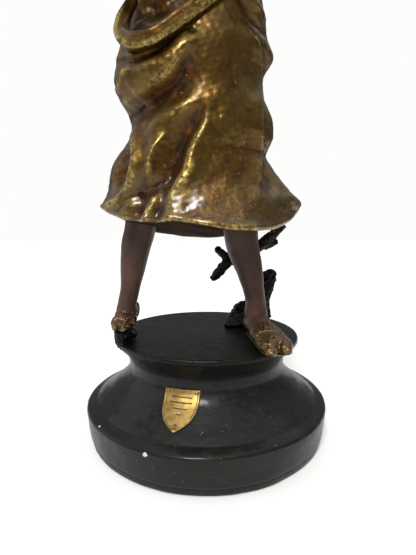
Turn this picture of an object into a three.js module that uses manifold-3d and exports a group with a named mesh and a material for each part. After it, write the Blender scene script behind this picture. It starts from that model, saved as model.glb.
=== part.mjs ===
// Souvenir figurine: a draped standing figure of painted plaster beside a tree stump,
// fixed on a round painted plinth that carries a small brass shield.
// Millimetres, +Z up, origin at the centre of the underside; the figure faces -Y.
// "Right" and "left" in the names of limbs are the figure's own sides.

import * as THREE from 'three';
import { mergeVertices } from 'three/addons/utils/BufferGeometryUtils.js';
import Module from 'manifold-3d';

const wasm = await Module();
wasm.setup();

// ---------------------------------------------------------------- driving dimensions

const GAP = 0.3;                 // air between pieces that touch
const ROUND_SIDES = 40;          // flats round the plinth
const SMOOTH_ENOUGH = 0.06;      // largest step that merging of near-flat faces may leave

// Plinth, a turned shape.
const PLINTH_RADIUS = 85;        // at the arris, its widest ring
const PLINTH_HEIGHT = 66.5;      // from the floor to the seat of the ground disc
const FELT_THICKNESS = 1.2;
const FELT_INSET = 6;            // the pad stops short of the plinth's lower edge by this much

// Ground disc, the figure's own round base.
const DISC_RADIUS_RATIO = 0.762; // of the plinth's radius
const DISC_THICKNESS = 4;
const DISC_EDGE_ROUND = 1.4;

// Fixing under the plinth.
const STUD_RADIUS = 3;
const STUD_FIT = 0.35;           // radial clearance of the stud in its holes
const STUD_DEPTH_IN_DISC = 2.6;
const NUT_ACROSS_FLATS = 10;
const NUT_HEIGHT = 5;
const WASHER_RADIUS = 9;
const WASHER_THICKNESS = 1.6;
const RECESS_RADIUS = 15;
const RECESS_DEPTH = 12;

// Brass shield, bent to the slope of the plinth.
const SHIELD_WIDTH = 22;
const SHIELD_THICKNESS = 0.8;
const SHIELD_AZIMUTH = -104.5;   // degrees, from +X; a little to the figure's right of its front
const SHIELD_TOP_Z = 49.4;
const SHIELD_TIP_Z = 31.2;
const SHIELD_PIN_RADIUS = 0.5;
const SHIELD_PIN_LENGTH = 5;
const SHIELD_PIN_HEAD_RADIUS = 0.95;
const SHIELD_PIN_INSET = 2.2;    // pin centres from the shield's edge

// The figure.
const FIGURE_HEIGHT = 340;       // from the ground disc to the crown of the head
const LIMB_THICKNESS = 1;        // multiplies the thickness of arms and legs
const MANTLE_ROLL_THICKNESS = 1; // multiplies the thickness of the rolled mantle
const STRAP_THICKNESS = 1.1;
const GIRDLE_HEIGHT = 7;
const GIRDLE_THICKNESS = 1.8;
const WIRE_RADIUS = 1.5;         // iron wire inside each leg
const DOWEL_RADIUS = 4;          // waist dowel
const NECK_DOWEL_RADIUS = 2.4;

// ---------------------------------------------------------------- sizes worked out from them

const DISC_RADIUS = PLINTH_RADIUS * DISC_RADIUS_RATIO;
const DISC_BOTTOM = PLINTH_HEIGHT + GAP;
const GROUND = DISC_BOTTOM + DISC_THICKNESS;
const NOMINAL_HEIGHT = 340;      // the height that the figure's outlines below are drawn for
const K = FIGURE_HEIGHT / NOMINAL_HEIGHT;
const SEAM_Z = 229;              // skirt's top, drawn height above the ground disc
const COLLAR_Z = 285;

// ---------------------------------------------------------------- materials

const paint = (color, roughness, metalness) =>
  new THREE.MeshStandardMaterial({ color, roughness, metalness });
const MATERIALS = {
  plinth: paint(0x2b2c2a, 0.5, 0),
  disc: paint(0x1f201d, 0.35, 0),
  gold: paint(0x8f7533, 0.45, 0.6),
  skin: paint(0x6a4d43, 0.5, 0),
  bark: paint(0x1a1b18, 0.3, 0),
  hair: paint(0x35251a, 0.5, 0),
  brass: paint(0xc6a25a, 0.35, 1),
  steel: paint(0x77756f, 0.45, 1),
  felt: paint(0x2c3a2e, 0.95, 0),
};

// ---------------------------------------------------------------- solids and booleans

function toSolid(geometry) {
  const bare = geometry.clone();
  bare.deleteAttribute('normal');
  bare.deleteAttribute('uv');
  const merged = mergeVertices(bare, 1e-5);
  const index = merged.index ? merged.index.array : [...merged.attributes.position.array.keys()];
  return new wasm.Manifold(new wasm.Mesh({
    numProp: 3,
    vertProperties: new Float32Array(merged.attributes.position.array),
    triVerts: new Uint32Array(index),
  }));
}

// Faces that lie within SMOOTH_ENOUGH of each other are merged first.
function toGeometry(solid) {
  const mesh = solid.simplify(SMOOTH_ENOUGH).getMesh();
  const geometry = new THREE.BufferGeometry();
  geometry.setAttribute('position', new THREE.BufferAttribute(new Float32Array(mesh.vertProperties), 3));
  geometry.setIndex(new THREE.BufferAttribute(new Uint32Array(mesh.triVerts), 1));
  return geometry;
}

function cut(solid, ...tools) {
  return tools.reduce((left, tool) => left.subtract(tool), solid);
}

// The biggest of the bodies that a cut leaves; slivers are dropped.
function largest(solid) {
  return solid.decompose().reduce((a, b) => (b.volume() > a.volume() ? b : a));
}

function box(x0, x1, y0, y1, z0, z1) {
  const geometry = new THREE.BoxGeometry(x1 - x0, y1 - y0, z1 - z0);
  geometry.translate((x0 + x1) / 2, (y0 + y1) / 2, (z0 + z1) / 2);
  return toSolid(geometry);
}

// Closed surface through rings of points, with a fan of triangles over each end.
function closedRings(rings) {
  const count = rings[0].length;
  const points = rings.flat();
  const middle = (ring) => [0, 1, 2].map((k) => ring.reduce((sum, p) => sum + p[k], 0) / count);
  const start = points.push(middle(rings[0])) - 1;
  const end = points.push(middle(rings[rings.length - 1])) - 1;
  const faces = [];
  for (let i = 0; i + 1 < rings.length; i += 1) {
    for (let j = 0; j < count; j += 1) {
      const next = (j + 1) % count;
      const a = i * count + j;
      const b = i * count + next;
      const c = (i + 1) * count + next;
      const d = (i + 1) * count + j;
      faces.push(a, b, c, a, c, d);
    }
  }
  const last = (rings.length - 1) * count;
  for (let j = 0; j < count; j += 1) {
    const next = (j + 1) % count;
    faces.push(start, next, j, end, last + j, last + next);
  }
  const geometry = new THREE.BufferGeometry();
  geometry.setAttribute('position', new THREE.Float32BufferAttribute(points.flat(), 3));
  geometry.setIndex(faces);
  return toSolid(geometry);
}

function lathe(profile, segments) {
  const points = profile.map(([radius, z]) => new THREE.Vector2(radius, z));
  const geometry = new THREE.LatheGeometry(points, segments);
  geometry.rotateX(Math.PI / 2);
  return toSolid(geometry);
}

function rod(radius, z0, z1, x, y, sides) {
  const geometry = new THREE.CylinderGeometry(radius, radius, z1 - z0, sides);
  geometry.rotateX(Math.PI / 2);
  geometry.translate(x, y, (z0 + z1) / 2);
  return toSolid(geometry);
}

// ---------------------------------------------------------------- smooth curves through stations

// Cubic curve through rows of numbers at the keys; the slopes come from neighbouring rows.
function along(keys, rows, key) {
  const last = keys.length - 1;
  const at = Math.min(Math.max(key, keys[0]), keys[last]);
  let i = 0;
  while (i < last - 1 && at > keys[i + 1]) i += 1;
  const slope = (n, c) => {
    const lo = Math.max(n - 1, 0);
    const hi = Math.min(n + 1, last);
    return (rows[hi][c] - rows[lo][c]) / (keys[hi] - keys[lo]);
  };
  const span = keys[i + 1] - keys[i];
  const t = (at - keys[i]) / span;
  const h = [2 * t ** 3 - 3 * t ** 2 + 1, t ** 3 - 2 * t ** 2 + t, 3 * t ** 2 - 2 * t ** 3,
    t ** 3 - t ** 2];
  return rows[i].map((value, c) =>
    h[0] * value + h[1] * span * slope(i, c) + h[2] * rows[i + 1][c] + h[3] * span * slope(i + 1, c));
}

// Round limb through stations [x, y, z, half width, half depth] in drawn millimetres.
// grow fattens it and lengthens both ends by the same amount.
function limb(stations, { sides = 14, steps = 10, grow = 0, fat = 1, side = [0, 1, 0] } = {}) {
  const keys = stations.map((_, i) => i);
  const samples = [];
  for (let i = 0; i <= steps; i += 1) {
    samples.push(along(keys, stations, ((stations.length - 1) * i) / steps));
  }
  const place = (s) => new THREE.Vector3(s[0] * K, s[1] * K, GROUND + s[2] * K);
  const centres = samples.map(place);
  const rings = samples.map((s, i) => {
    const ahead = centres[Math.min(i + 1, steps)].clone();
    const dir = ahead.sub(centres[Math.max(i - 1, 0)]).normalize();
    const u = new THREE.Vector3(...side).cross(dir).normalize();
    const v = dir.clone().cross(u);
    const centre = centres[i].clone();
    if (i === 0) centre.addScaledVector(dir, -grow);
    if (i === steps) centre.addScaledVector(dir, grow);
    const ring = [];
    for (let j = 0; j < sides; j += 1) {
      const turn = (2 * Math.PI * j) / sides;
      const p = centre.clone();
      p.addScaledVector(u, (s[3] * fat * K + grow) * Math.cos(turn));
      p.addScaledVector(v, (s[4] * fat * K + grow) * Math.sin(turn));
      ring.push(p.toArray());
    }
    return ring;
  });
  return closedRings(rings);
}

// ---------------------------------------------------------------- plinth and its fixing

// Outside of the plinth, [radius as a share of the arris, height] from the floor up.
const PLINTH_OUTLINE = [
  [0.962, 1.5], [0.972, 5.4], [0.988, 15], [1, 23.6], [0.978, 25.6], [0.925, 27.2],
  [0.874, 30.3], [0.824, 33.2], [0.712, 41.2], [0.671, 45.2],
  [0.652, 49.2], [0.655, 54.5], [0.69, 61.2], [0.748, 66.5],
];
const OUTLINE_TOP = 66.5;

function plinthRadius(z) {
  const keys = PLINTH_OUTLINE.map((p) => (p[1] * PLINTH_HEIGHT) / OUTLINE_TOP);
  return along(keys, PLINTH_OUTLINE, z)[0] * PLINTH_RADIUS;
}

function plinthBlank() {
  const bottom = FELT_THICKNESS + GAP;
  const bore = STUD_RADIUS + STUD_FIT;
  const outside = PLINTH_OUTLINE.map(([share, z]) => [
    share * PLINTH_RADIUS,
    Math.max(bottom, (z * PLINTH_HEIGHT) / OUTLINE_TOP),
  ]);
  const inside = [
    [bore, PLINTH_HEIGHT],
    [bore, bottom + RECESS_DEPTH],
    [RECESS_RADIUS, bottom + RECESS_DEPTH],
    [RECESS_RADIUS, bottom],
  ];
  const profile = [...outside, ...inside];
  profile.push(profile[0]);
  return lathe(profile, ROUND_SIDES);
}

function groundDisc() {
  const top = GROUND;
  const bore = STUD_RADIUS + STUD_FIT;
  const r = DISC_RADIUS;
  const e = DISC_EDGE_ROUND;
  return lathe([
    [bore, DISC_BOTTOM], [r - 1.5, DISC_BOTTOM], [r - 0.2, DISC_BOTTOM + e], [r, top - e],
    [r - 0.3 * e, top - 0.3 * e], [r - e, top], [0, top],
    [0, DISC_BOTTOM + STUD_DEPTH_IN_DISC + STUD_FIT],
    [bore, DISC_BOTTOM + STUD_DEPTH_IN_DISC + STUD_FIT], [bore, DISC_BOTTOM],
  ], ROUND_SIDES);
}

// The pad is a full disc, so it covers the recess.
function feltPad() {
  const outer = plinthRadius(FELT_THICKNESS) - FELT_INSET;
  return rod(outer, 0, FELT_THICKNESS, 0, 0, ROUND_SIDES);
}

const RECESS_CEILING = FELT_THICKNESS + GAP + RECESS_DEPTH;

function fixingStud() {
  const nutBottom = RECESS_CEILING - 2 * GAP - WASHER_THICKNESS - NUT_HEIGHT;
  return rod(STUD_RADIUS, nutBottom - 1, DISC_BOTTOM + STUD_DEPTH_IN_DISC, 0, 0, 20);
}

function fixingWasher() {
  const top = RECESS_CEILING - GAP;
  const bore = STUD_RADIUS + STUD_FIT;
  return lathe([
    [bore, top - WASHER_THICKNESS], [WASHER_RADIUS, top - WASHER_THICKNESS], [WASHER_RADIUS, top],
    [bore, top], [bore, top - WASHER_THICKNESS],
  ], 24);
}

function fixingNut() {
  const top = RECESS_CEILING - 2 * GAP - WASHER_THICKNESS;
  const hex = rod(NUT_ACROSS_FLATS / Math.sqrt(3), top - NUT_HEIGHT, top, 0, 0, 6);
  return cut(hex, rod(STUD_RADIUS + STUD_FIT, top - NUT_HEIGHT - 1, top + 1, 0, 0, 20));
}

// ---------------------------------------------------------------- brass shield

// Half width of the shield as a share of its full half width, from its top (0) to its tip (1).
const SHIELD_SIDE_KEYS = [0, 0.35, 0.6, 0.78, 0.9, 1];
const SHIELD_SIDES = [[0.98], [1], [0.93], [0.72], [0.42], [0.03]];

function onPlinth(across, z, lift) {
  const radius = plinthRadius(z);
  const rise = 0.5;
  const slope = (plinthRadius(z + rise) - plinthRadius(z - rise)) / (2 * rise);
  const tilt = Math.hypot(1, slope);
  const azimuth = THREE.MathUtils.degToRad(SHIELD_AZIMUTH) + across / radius;
  const r = radius + lift / tilt;
  return [r * Math.cos(azimuth), r * Math.sin(azimuth), z - (lift * slope) / tilt];
}

function shieldPlate() {
  const rows = 7;
  const columns = 6;
  const rings = [];
  for (let i = 0; i <= rows; i += 1) {
    const down = i / rows;
    const z = SHIELD_TOP_Z + (SHIELD_TIP_Z - SHIELD_TOP_Z) * down;
    const half = (along(SHIELD_SIDE_KEYS, SHIELD_SIDES, down)[0] * SHIELD_WIDTH) / 2;
    const under = [];
    const over = [];
    for (let j = 0; j <= columns; j += 1) {
      const across = half * ((2 * j) / columns - 1);
      under.push(onPlinth(across, z, GAP));
      over.push(onPlinth(across, z, GAP + SHIELD_THICKNESS));
    }
    rings.push([...under.reverse(), ...over]);
  }
  return closedRings(rings.map((ring) => ring.reverse()));
}

// Centre of each pin: [distance across the shield, height].
const SHIELD_PINS = {
  shield_pin_upper_right: [-SHIELD_WIDTH / 2 + SHIELD_PIN_INSET, SHIELD_TOP_Z - 1.6],
  shield_pin_upper_left: [SHIELD_WIDTH / 2 - SHIELD_PIN_INSET, SHIELD_TOP_Z - 1.6],
  shield_pin_tip: [0, SHIELD_TIP_Z + 2.1],
};

function shieldPin([across, z], grow) {
  const deep = new THREE.Vector3(...onPlinth(across, z, -SHIELD_PIN_LENGTH - grow));
  const face = new THREE.Vector3(...onPlinth(across, z, GAP + SHIELD_THICKNESS + GAP / 2));
  const out = face.clone().sub(deep).normalize();
  const u = new THREE.Vector3(0, 0, 1).cross(out).normalize();
  const v = out.clone().cross(u);
  const r = SHIELD_PIN_RADIUS + grow;
  const head = SHIELD_PIN_HEAD_RADIUS;
  const shape = grow > 0
    ? [[deep, 0, r], [face, 2, r]]
    : [[deep, 0, r], [face, 0, r], [face, 0.02, head], [face, 0.45, head * 0.75],
      [face, 0.62, head * 0.3]];
  const sides = 10;
  return closedRings(shape.map(([base, lift, radius]) => Array.from({ length: sides }, (_, j) => {
    const turn = (2 * Math.PI * j) / sides;
    const p = base.clone().addScaledVector(out, lift);
    p.addScaledVector(u, radius * Math.cos(turn)).addScaledVector(v, radius * Math.sin(turn));
    return p.toArray();
  })));
}

// ---------------------------------------------------------------- draped body

// Body outline by height above the ground disc: leftmost x, rightmost x, front y, back y.
const BODY_KEYS = [66, 91, 100, 113, 121, 127, 134, 147, 159, 172, 185, 197, 209, 221, 229,
  238, 251, 265, 275, 281, 285];
const BODY_ROWS = [
  [-66.5, 59.5, -56, 38], [-68.5, 62, -48.5, 37], [-66, 54, -45.5, 35], [-63.5, 43.5, -43.5, 33],
  [-59, 38.5, -42, 32], [-54, 40.5, -41.5, 31], [-50.5, 43, -41, 30], [-52.5, 42, -39.5, 28.5],
  [-57, 37, -38, 28], [-59.5, 36.5, -36.5, 27], [-58, 43, -34.5, 26], [-54, 39, -32, 25],
  [-50.5, 38, -29.5, 23], [-45.5, 35.5, -26.5, 20.5], [-40, 31, -24, 18.5], [-33, 26, -22, 16.5],
  [-37, 28, -26, 17], [-38, 30, -22, 17], [-35, 26, -17, 15], [-24, 13, -12.5, 11.5], [-17, 5, -10, 9],
];

// Height of the hem by angle round the body, in degrees from +X.
const HEM_KEYS = [0, 40, 90, 140, 180, 215, 240, 262, 288, 318, 345, 360];
const HEM_ROWS = [[92], [75], [66], [75], [91], [80.5], [76.5], [76], [71.5], [74], [84.5], [92]];

// Folds of the drapery. Each runs along a line of [x, z] points seen from the front, and has its own
// width to the left and to the right of someone walking that line; faded ends sink away.
const FOLDS = [
  { line: [[-4, 181], [-14, 162], [-32, 151], [-54, 146]], left: 9, right: 4.2, high: -6.4, faded: 'start' },
  { line: [[-64, 170], [-42, 166], [-24, 168], [-13, 177]], left: 11, right: 11, high: 5 },
  { line: [[-62, 178], [-45, 173], [-28, 176], [-10, 190]], left: 3, right: 4, high: -2.6, faded: 'end' },
  { line: [[-58, 176], [-54, 166], [-58, 161]], left: 3.2, right: 3.2, high: -3, faded: 'both' },
  { line: [[-2, 148], [-22, 137], [-37, 122]], left: 8, right: 7, high: 3.2, faded: 'both' },
  { line: [[0, 147], [-14, 121], [-25, 94]], left: 4, right: 9, high: -7.2, faded: 'both' },
  { line: [[-20, 102], [-50, 93]], left: 5, right: 6, high: -3, faded: 'start' },
  { line: [[1, 147], [-11, 119], [-20, 89], [-21, 74]], left: 10, right: 2.8, high: 3.2, faded: 'start' },
  { line: [[-23, 129], [-32, 115], [-32, 99]], left: 2.4, right: 4.2, high: 3, faded: 'both' },
  { line: [[-47, 147], [-42, 121], [-45, 103], [-68, 86]], left: 5.5, right: 3.2, high: 4.6, faded: 'start' },
  { line: [[-54, 124], [-54, 106], [-59, 98]], left: 4.6, right: 4.6, high: -5.4, faded: 'both' },
  { line: [[-44, 98], [-40, 89], [-44, 77]], left: 4.2, right: 4.2, high: -3.4, faded: 'start' },
  { line: [[-27, 96], [-37, 76]], left: 3.2, right: 3.2, high: 2.6, faded: 'start' },
  { line: [[-16, 76], [0, 74], [18, 73], [36, 76]], left: 13, right: 13, high: 3.8, faded: 'both' },
  { line: [[19, 199], [32, 183], [33, 152], [31, 80]], left: 2.6, right: 5.5, high: 3, faded: 'both' },
  { line: [[29, 193], [38, 177], [36, 122]], left: 5, right: 2.8, high: -4, faded: 'both' },
  { line: [[34, 125], [46, 103], [58, 88]], left: 3, right: 3, high: 2.4, faded: 'start' },
  { line: [[17, 215], [30, 199], [40, 196]], left: 3.2, right: 2.4, high: -2.8, faded: 'start' },
  { line: [[24, 214], [42, 208]], left: 3, right: 3, high: 2.2 },
  { line: [[13, 148], [17, 160]], left: 14, right: 14, high: 1.8 },
  { line: [[4, 172], [9, 186]], left: 16, right: 16, high: 2 },
  { line: [[-35, 207], [-18, 214], [-8, 221]], left: 11, right: 11, high: -9.5 },
];

const smoothStep = (value) => THREE.MathUtils.smoothstep(value, 0, 1);

// Nearest place on a line: how far away, on which side (+1 is left) and how far along, 0 to 1.
function nearLine(x, z, line) {
  const lengths = line.slice(1).map((p, i) => Math.hypot(p[0] - line[i][0], p[1] - line[i][1]));
  const whole = lengths.reduce((a, b) => a + b);
  let best = { away: Infinity };
  let walked = 0;
  lengths.forEach((length, i) => {
    const [x0, z0] = line[i];
    const dx = (line[i + 1][0] - x0) / length;
    const dz = (line[i + 1][1] - z0) / length;
    const t = Math.min(length, Math.max(0, (x - x0) * dx + (z - z0) * dz));
    const away = Math.hypot(x - x0 - t * dx, z - z0 - t * dz);
    const side = dx * (z - z0) - dz * (x - x0);
    if (away < best.away) best = { away, side, along: (walked + t) / whole };
    walked += length;
  });
  return best;
}

function foldHeight(x, z) {
  let sum = 0;
  for (const { line, left, right, high, faded = '' } of FOLDS) {
    const { away, side, along: share } = nearLine(x, z, line);
    let rise = 1;
    if (faded === 'start' || faded === 'both') rise *= smoothStep((share + 0.02) / 0.32);
    if (faded === 'end' || faded === 'both') rise *= smoothStep((1.02 - share) / 0.32);
    const wide = (side > 0 ? left : right) * (0.45 + 0.55 * rise);
    sum += high * rise * Math.exp(-((away / wide) ** 2));
  }
  return sum;
}

// Point of the body at an angle and height, pushed out by the folds and by lift.
function bodyPoint(turn, z, lift) {
  const [left, right, front, back] = along(BODY_KEYS, BODY_ROWS, z);
  const halfX = (right - left) / 2;
  const cos = Math.cos(turn);
  const sin = Math.sin(turn);
  const depth = sin < 0 ? -front : back;
  const x = (left + right) / 2 + halfX * cos;
  const y = depth * sin;
  const facing = smoothStep(-sin / 0.5);
  const low = Math.min(1, Math.max(0, (SEAM_Z - 10 - z) / 60));
  const pleats = (1 - facing) * low * 2.2 * Math.cos(7 * turn + 0.6);
  const fade = Math.min(1, Math.max(0, (SEAM_Z + 4 - z) / 12));
  const push = facing * fade * foldHeight(x, z) + pleats + lift / K;
  const slant = Math.hypot(cos / halfX, sin / depth);
  return [
    (x + (push * cos) / halfX / slant) * K,
    (y + (push * sin) / depth / slant) * K,
    GROUND + z * K,
  ];
}

function hemHeight(turn) {
  const degrees = THREE.MathUtils.radToDeg(turn);
  return along(HEM_KEYS, HEM_ROWS, ((degrees % 360) + 360) % 360)[0];
}

function turns(count) {
  return Array.from({ length: count }, (_, j) => (2 * Math.PI * j) / count);
}

function skirtBlank(grow = 0) {
  const around = turns(56);
  const levels = 19;
  const rings = [];
  const hem = around.map((turn) => bodyPoint(turn, hemHeight(turn) - grow / K, grow));
  const floor = (p) => GROUND + (72 - 0.155 * (p[1] / K)) * K - grow;
  for (const share of [0.3, 0.65, 0.93]) {
    const blend = share ** 4;
    rings.push(hem.map((p) => {
      const q = [-4 * K + (p[0] + 4 * K) * share, p[1] * share, 0];
      q[2] = floor(q) * (1 - blend) + (p[2] + 1) * blend;
      return q;
    }));
  }
  rings.push(hem);
  for (let i = 1; i <= levels; i += 1) {
    rings.push(around.map((turn) => {
      const low = hemHeight(turn);
      const z = low + (SEAM_Z - low) * (i / levels);
      return bodyPoint(turn, z + (i === levels ? grow / K : 0), grow);
    }));
  }
  return closedRings(rings);
}

function bodyBand(z0, z1, lift, levels, sides) {
  const rings = [];
  for (let i = 0; i <= levels; i += 1) {
    const z = z0 + ((z1 - z0) * i) / levels;
    rings.push(turns(sides).map((turn) => bodyPoint(turn, z, lift)));
  }
  return closedRings(rings);
}

const GIRDLE_TOP = SEAM_Z + GIRDLE_HEIGHT;

// Dowels between the castings: x, y, bottom and top in drawn millimetres, and radius.
const DOWELS = {
  waist: { x: -4, y: -2, bottom: 205, top: 255, radius: DOWEL_RADIUS, sides: 16 },
  neck: { x: -6, y: -1, bottom: 268, top: 304, radius: NECK_DOWEL_RADIUS, sides: 12 },
};

function dowel(which, grow = 0) {
  const { x, y, bottom, top, radius, sides } = DOWELS[which];
  return rod(radius + grow, GROUND + bottom * K - grow, GROUND + top * K + grow, x * K, y * K, sides);
}

function girdleBlank(grow = 0) {
  return bodyBand(SEAM_Z + (GAP - grow) / K, GIRDLE_TOP + grow / K, GIRDLE_THICKNESS + grow, 2, 28);
}

function bodiceBlank(grow = 0) {
  return bodyBand(GIRDLE_TOP + (GAP - grow) / K, COLLAR_Z + grow / K, grow, 8, 28);
}

// Mantle hanging down the back: a thick wavy sheet over the body between two angles.
const FALL_FROM = 22;            // degrees from +X
const FALL_TO = 158;
const FALL_TOP = 276;
const FALL_BOTTOM = 148;
const FALL_THICKNESS = 4;

function mantleFall(sleeves) {
  const columns = 12;
  const levels = 8;
  const rings = [];
  for (let i = 0; i <= levels; i += 1) {
    const under = [];
    const over = [];
    for (let j = 0; j <= columns; j += 1) {
      const share = j / columns;
      const turn = THREE.MathUtils.degToRad(FALL_FROM + (FALL_TO - FALL_FROM) * share);
      const bottom = FALL_BOTTOM + 26 * Math.abs(share - 0.45);
      const z = bottom + ((FALL_TOP - bottom) * i) / levels;
      const belt = Math.exp(-(((z - SEAM_Z - 4) / 8) ** 2)) * (GIRDLE_THICKNESS + GAP);
      const wave = 1.5 * (1 - 0.6 * (i / levels)) * Math.cos(share * 19);
      under.push(bodyPoint(turn, z, 2 * GAP + belt));
      over.push(bodyPoint(turn, z, 2 * GAP + belt + FALL_THICKNESS + wave));
    }
    rings.push([...over, ...under.reverse()]);
  }
  const ends = [girdleBlank(GAP), skirtBlank(GAP), bodiceBlank(GAP)];
  return largest(cut(closedRings(rings), ...ends, ...sleeves));
}

// Rolled front edge of the mantle, from the girdle round the figure's right hip.
const ROLL = [
  [34, -12, 233, 3.6, 3.6], [20, -23, 222.3, 4.4, 4], [8, -28, 212.3, 5, 4.2], [-2, -31.5, 203.7, 5.4, 4.4],
  [-13, -35.5, 194, 5.6, 4.8], [-24, -38, 185.5, 5.6, 5], [-34, -36.5, 181, 5.6, 5.2],
  [-43, -32, 182, 5.6, 5.4], [-49.5, -25, 188, 5.2, 5.2], [-51, -20, 196, 4.8, 4.8],
  [-49, -17, 204.5, 4.2, 4.2], [-44.5, -15, 213.4, 3.6, 3.6],
];

function mantleRollBlank(grow = 0) {
  return limb(ROLL, { sides: 10, steps: 22, grow, fat: MANTLE_ROLL_THICKNESS, side: [0, 1, 0] });
}

// ---------------------------------------------------------------- arms, legs and feet

const SLEEVES = {
  right: [[-30, 0, 274, 10, 12], [-41, -2, 272, 11.5, 12.5], [-49, -8, 262, 12, 12],
    [-54, -14, 250, 11.5, 11.5]],
  left: [[20, 0, 274, 10, 12], [31, -2, 272, 11.5, 12.5], [38, -6, 262, 12, 12],
    [43, -10, 250, 11.5, 11.5]],
};
const ARMS = {
  right: [[-52, -12, 255, 8.5, 8.5], [-56, -17, 241, 8, 8], [-58, -23, 229, 7.6, 7.6],
    [-51, -34, 226, 7.4, 7.4], [-38, -43, 230, 6.4, 6.4], [-27, -48, 233, 5.4, 5]],
  left: [[41, -9, 255, 8.5, 8.5], [46, -12, 241, 8, 8], [48, -17, 229, 7.6, 7.6],
    [42, -27, 231, 7.4, 7.4], [32, -35, 243, 6.4, 6.4], [23, -39, 254, 5.4, 5]],
};
const HANDS = {
  right: [[-28.5, -47.6, 232.8, 4.9, 4.6], [-21, -50, 234, 7.2, 5.4], [-14, -50, 232, 7.6, 5.2],
    [-8, -48, 228, 5.6, 4.2]],
  left: [[23.6, -38.4, 253.2, 4.9, 4.6], [19, -40, 259, 7.2, 5.2], [14, -39, 265, 7.4, 4.8],
    [9, -36, 269, 5.4, 3.8]],
};
const LEGS = {
  right: [[-43, -8, 96, 11, 12], [-46, -9, 74, 10.5, 11.5], [-48.3, -10, 60, 9.9, 11],
    [-50, -13, 46, 8.3, 9.2],
    [-51.5, -16, 33, 6.5, 7.2], [-53, -18, 24, 6.3, 7], [-53.5, -18.5, 18, 7, 8]],
  left: [[22, -4, 96, 12.5, 13], [23.5, -5, 72, 12, 12.5], [25.5, -6, 60, 11.2, 12],
    [29.8, -8, 45, 9.3, 10.2],
    [32.3, -10, 33, 7.6, 8.4], [33.8, -11.5, 24, 6.9, 7.6], [34.3, -12.5, 12, 7.8, 9]],
};
const FEET = {
  right: [[-50, -7, 20, 4, 4.5], [-51.5, -11, 18, 6.2, 7.2], [-53.4, -18, 16, 6.8, 7.6],
    [-54.2, -25, 14, 7, 5.2], [-54.4, -31, 12.6, 7, 3.9], [-54.6, -35.5, 12, 4.4, 2.8]],
  left: [[31.5, -3, 7.4, 4, 4.5], [32.5, -8, 8.5, 7, 6.8], [34.5, -18, 9.2, 8.4, 7.5],
    [37, -31, 7.4, 9, 5.6], [39.2, -45, 6, 10, 4.4], [40.4, -55, 5.4, 10, 3.8], [41, -61, 5, 6.4, 2.6]],
};
// Stations of each foot that a strap covers.
const STRAPS = {
  right: { ankle: [0, 2], toe: [3, 4] },
  left: { instep: [3, 4], toe: [5, 6] },
};
const FOOT_OPTIONS = { sides: 12, steps: 9, side: [0, 0, 1], fat: LIMB_THICKNESS };
const SOLE_TOP = { right: 8.2, left: 1.9 };
const SOLE_INSET = 0.8;

function leg(which, grow = 0) {
  return limb(LEGS[which], { sides: 12, steps: 8, grow, fat: LIMB_THICKNESS, side: [0, 1, 0] });
}

function footBlank(which, grow = 0) {
  const under = box(-200, 200, -200, 200, -200, GROUND + SOLE_TOP[which] * K - grow);
  return limb(FEET[which], { ...FOOT_OPTIONS, grow }).subtract(under);
}

// Wire that runs up inside a leg from the ground disc.
function legWire(which, grow = 0) {
  const first = LEGS[which][LEGS[which].length - 1];
  const inDisc = [first[0], first[1] - 1, -2.4 / K, 0, 0];
  const path = [inDisc, [first[0], first[1] - 0.5, first[2] * 0.5, 0, 0],
    ...LEGS[which].slice(2).reverse()];
  const thin = path.map(([x, y, z]) => [x, y, z, WIRE_RADIUS / K, WIRE_RADIUS / K]);
  return limb(thin, { sides: 6, steps: 8, grow, side: [0, 1, 0] });
}

function sleeveBlank(which, grow = 0) {
  return limb(SLEEVES[which], { sides: 12, steps: 5, grow, side: [0, 1, 0] });
}

function armBlank(which, grow = 0) {
  return limb(ARMS[which], { sides: 10, steps: 10, grow, fat: LIMB_THICKNESS, side: [0.2, 1, 0.1] });
}

// A strap is a skin over the foot and the leg, kept between two stations of the foot.
function strap(which, [from, to]) {
  const stations = FEET[which];
  const grow = GAP + STRAP_THICKNESS;
  const covered = stations.slice(Math.max(from - 1, 0), to + 1);
  const round = limb(covered, { ...FOOT_OPTIONS, steps: 6, grow });
  const high = Math.max(...[from, to].map((i) => stations[i][2] + stations[i][4]));
  const above = box(-200, 200, -200, 200, GROUND + high * K + grow, GROUND + 200 * K);
  const reach = round.add(cut(leg(which, grow), above));
  const [x0, y0, z0] = stations[from];
  const [x1, y1] = stations[to];
  const slab = new THREE.BoxGeometry(60 * K, Math.hypot(x1 - x0, y1 - y0) * K, 60 * K);
  slab.rotateZ(Math.atan2(x0 - x1, y1 - y0));
  slab.translate(((x0 + x1) / 2) * K, ((y0 + y1) / 2) * K, GROUND + z0 * K);
  const under = box(-200, 200, -200, 200, -200, GROUND + (SOLE_TOP[which] + 0.4) * K);
  return cut(reach.intersect(toSolid(slab)), footBlank(which, GAP), leg(which, GAP), under);
}

// Flat sole between the front foot and the ground disc, set in from the foot's edge.
function frontSole() {
  const rings = [GAP, SOLE_TOP.left * K - GAP].map((z) => {
    const left = [];
    const right = [];
    FEET.left.forEach(([x, y, , half]) => {
      left.push([(x - half + SOLE_INSET) * K, y * K, GROUND + z]);
      right.push([(x + half - SOLE_INSET) * K, y * K, GROUND + z]);
    });
    return [...left, ...right.reverse()];
  });
  return closedRings(rings);
}

// ---------------------------------------------------------------- rock, stump and branches

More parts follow.
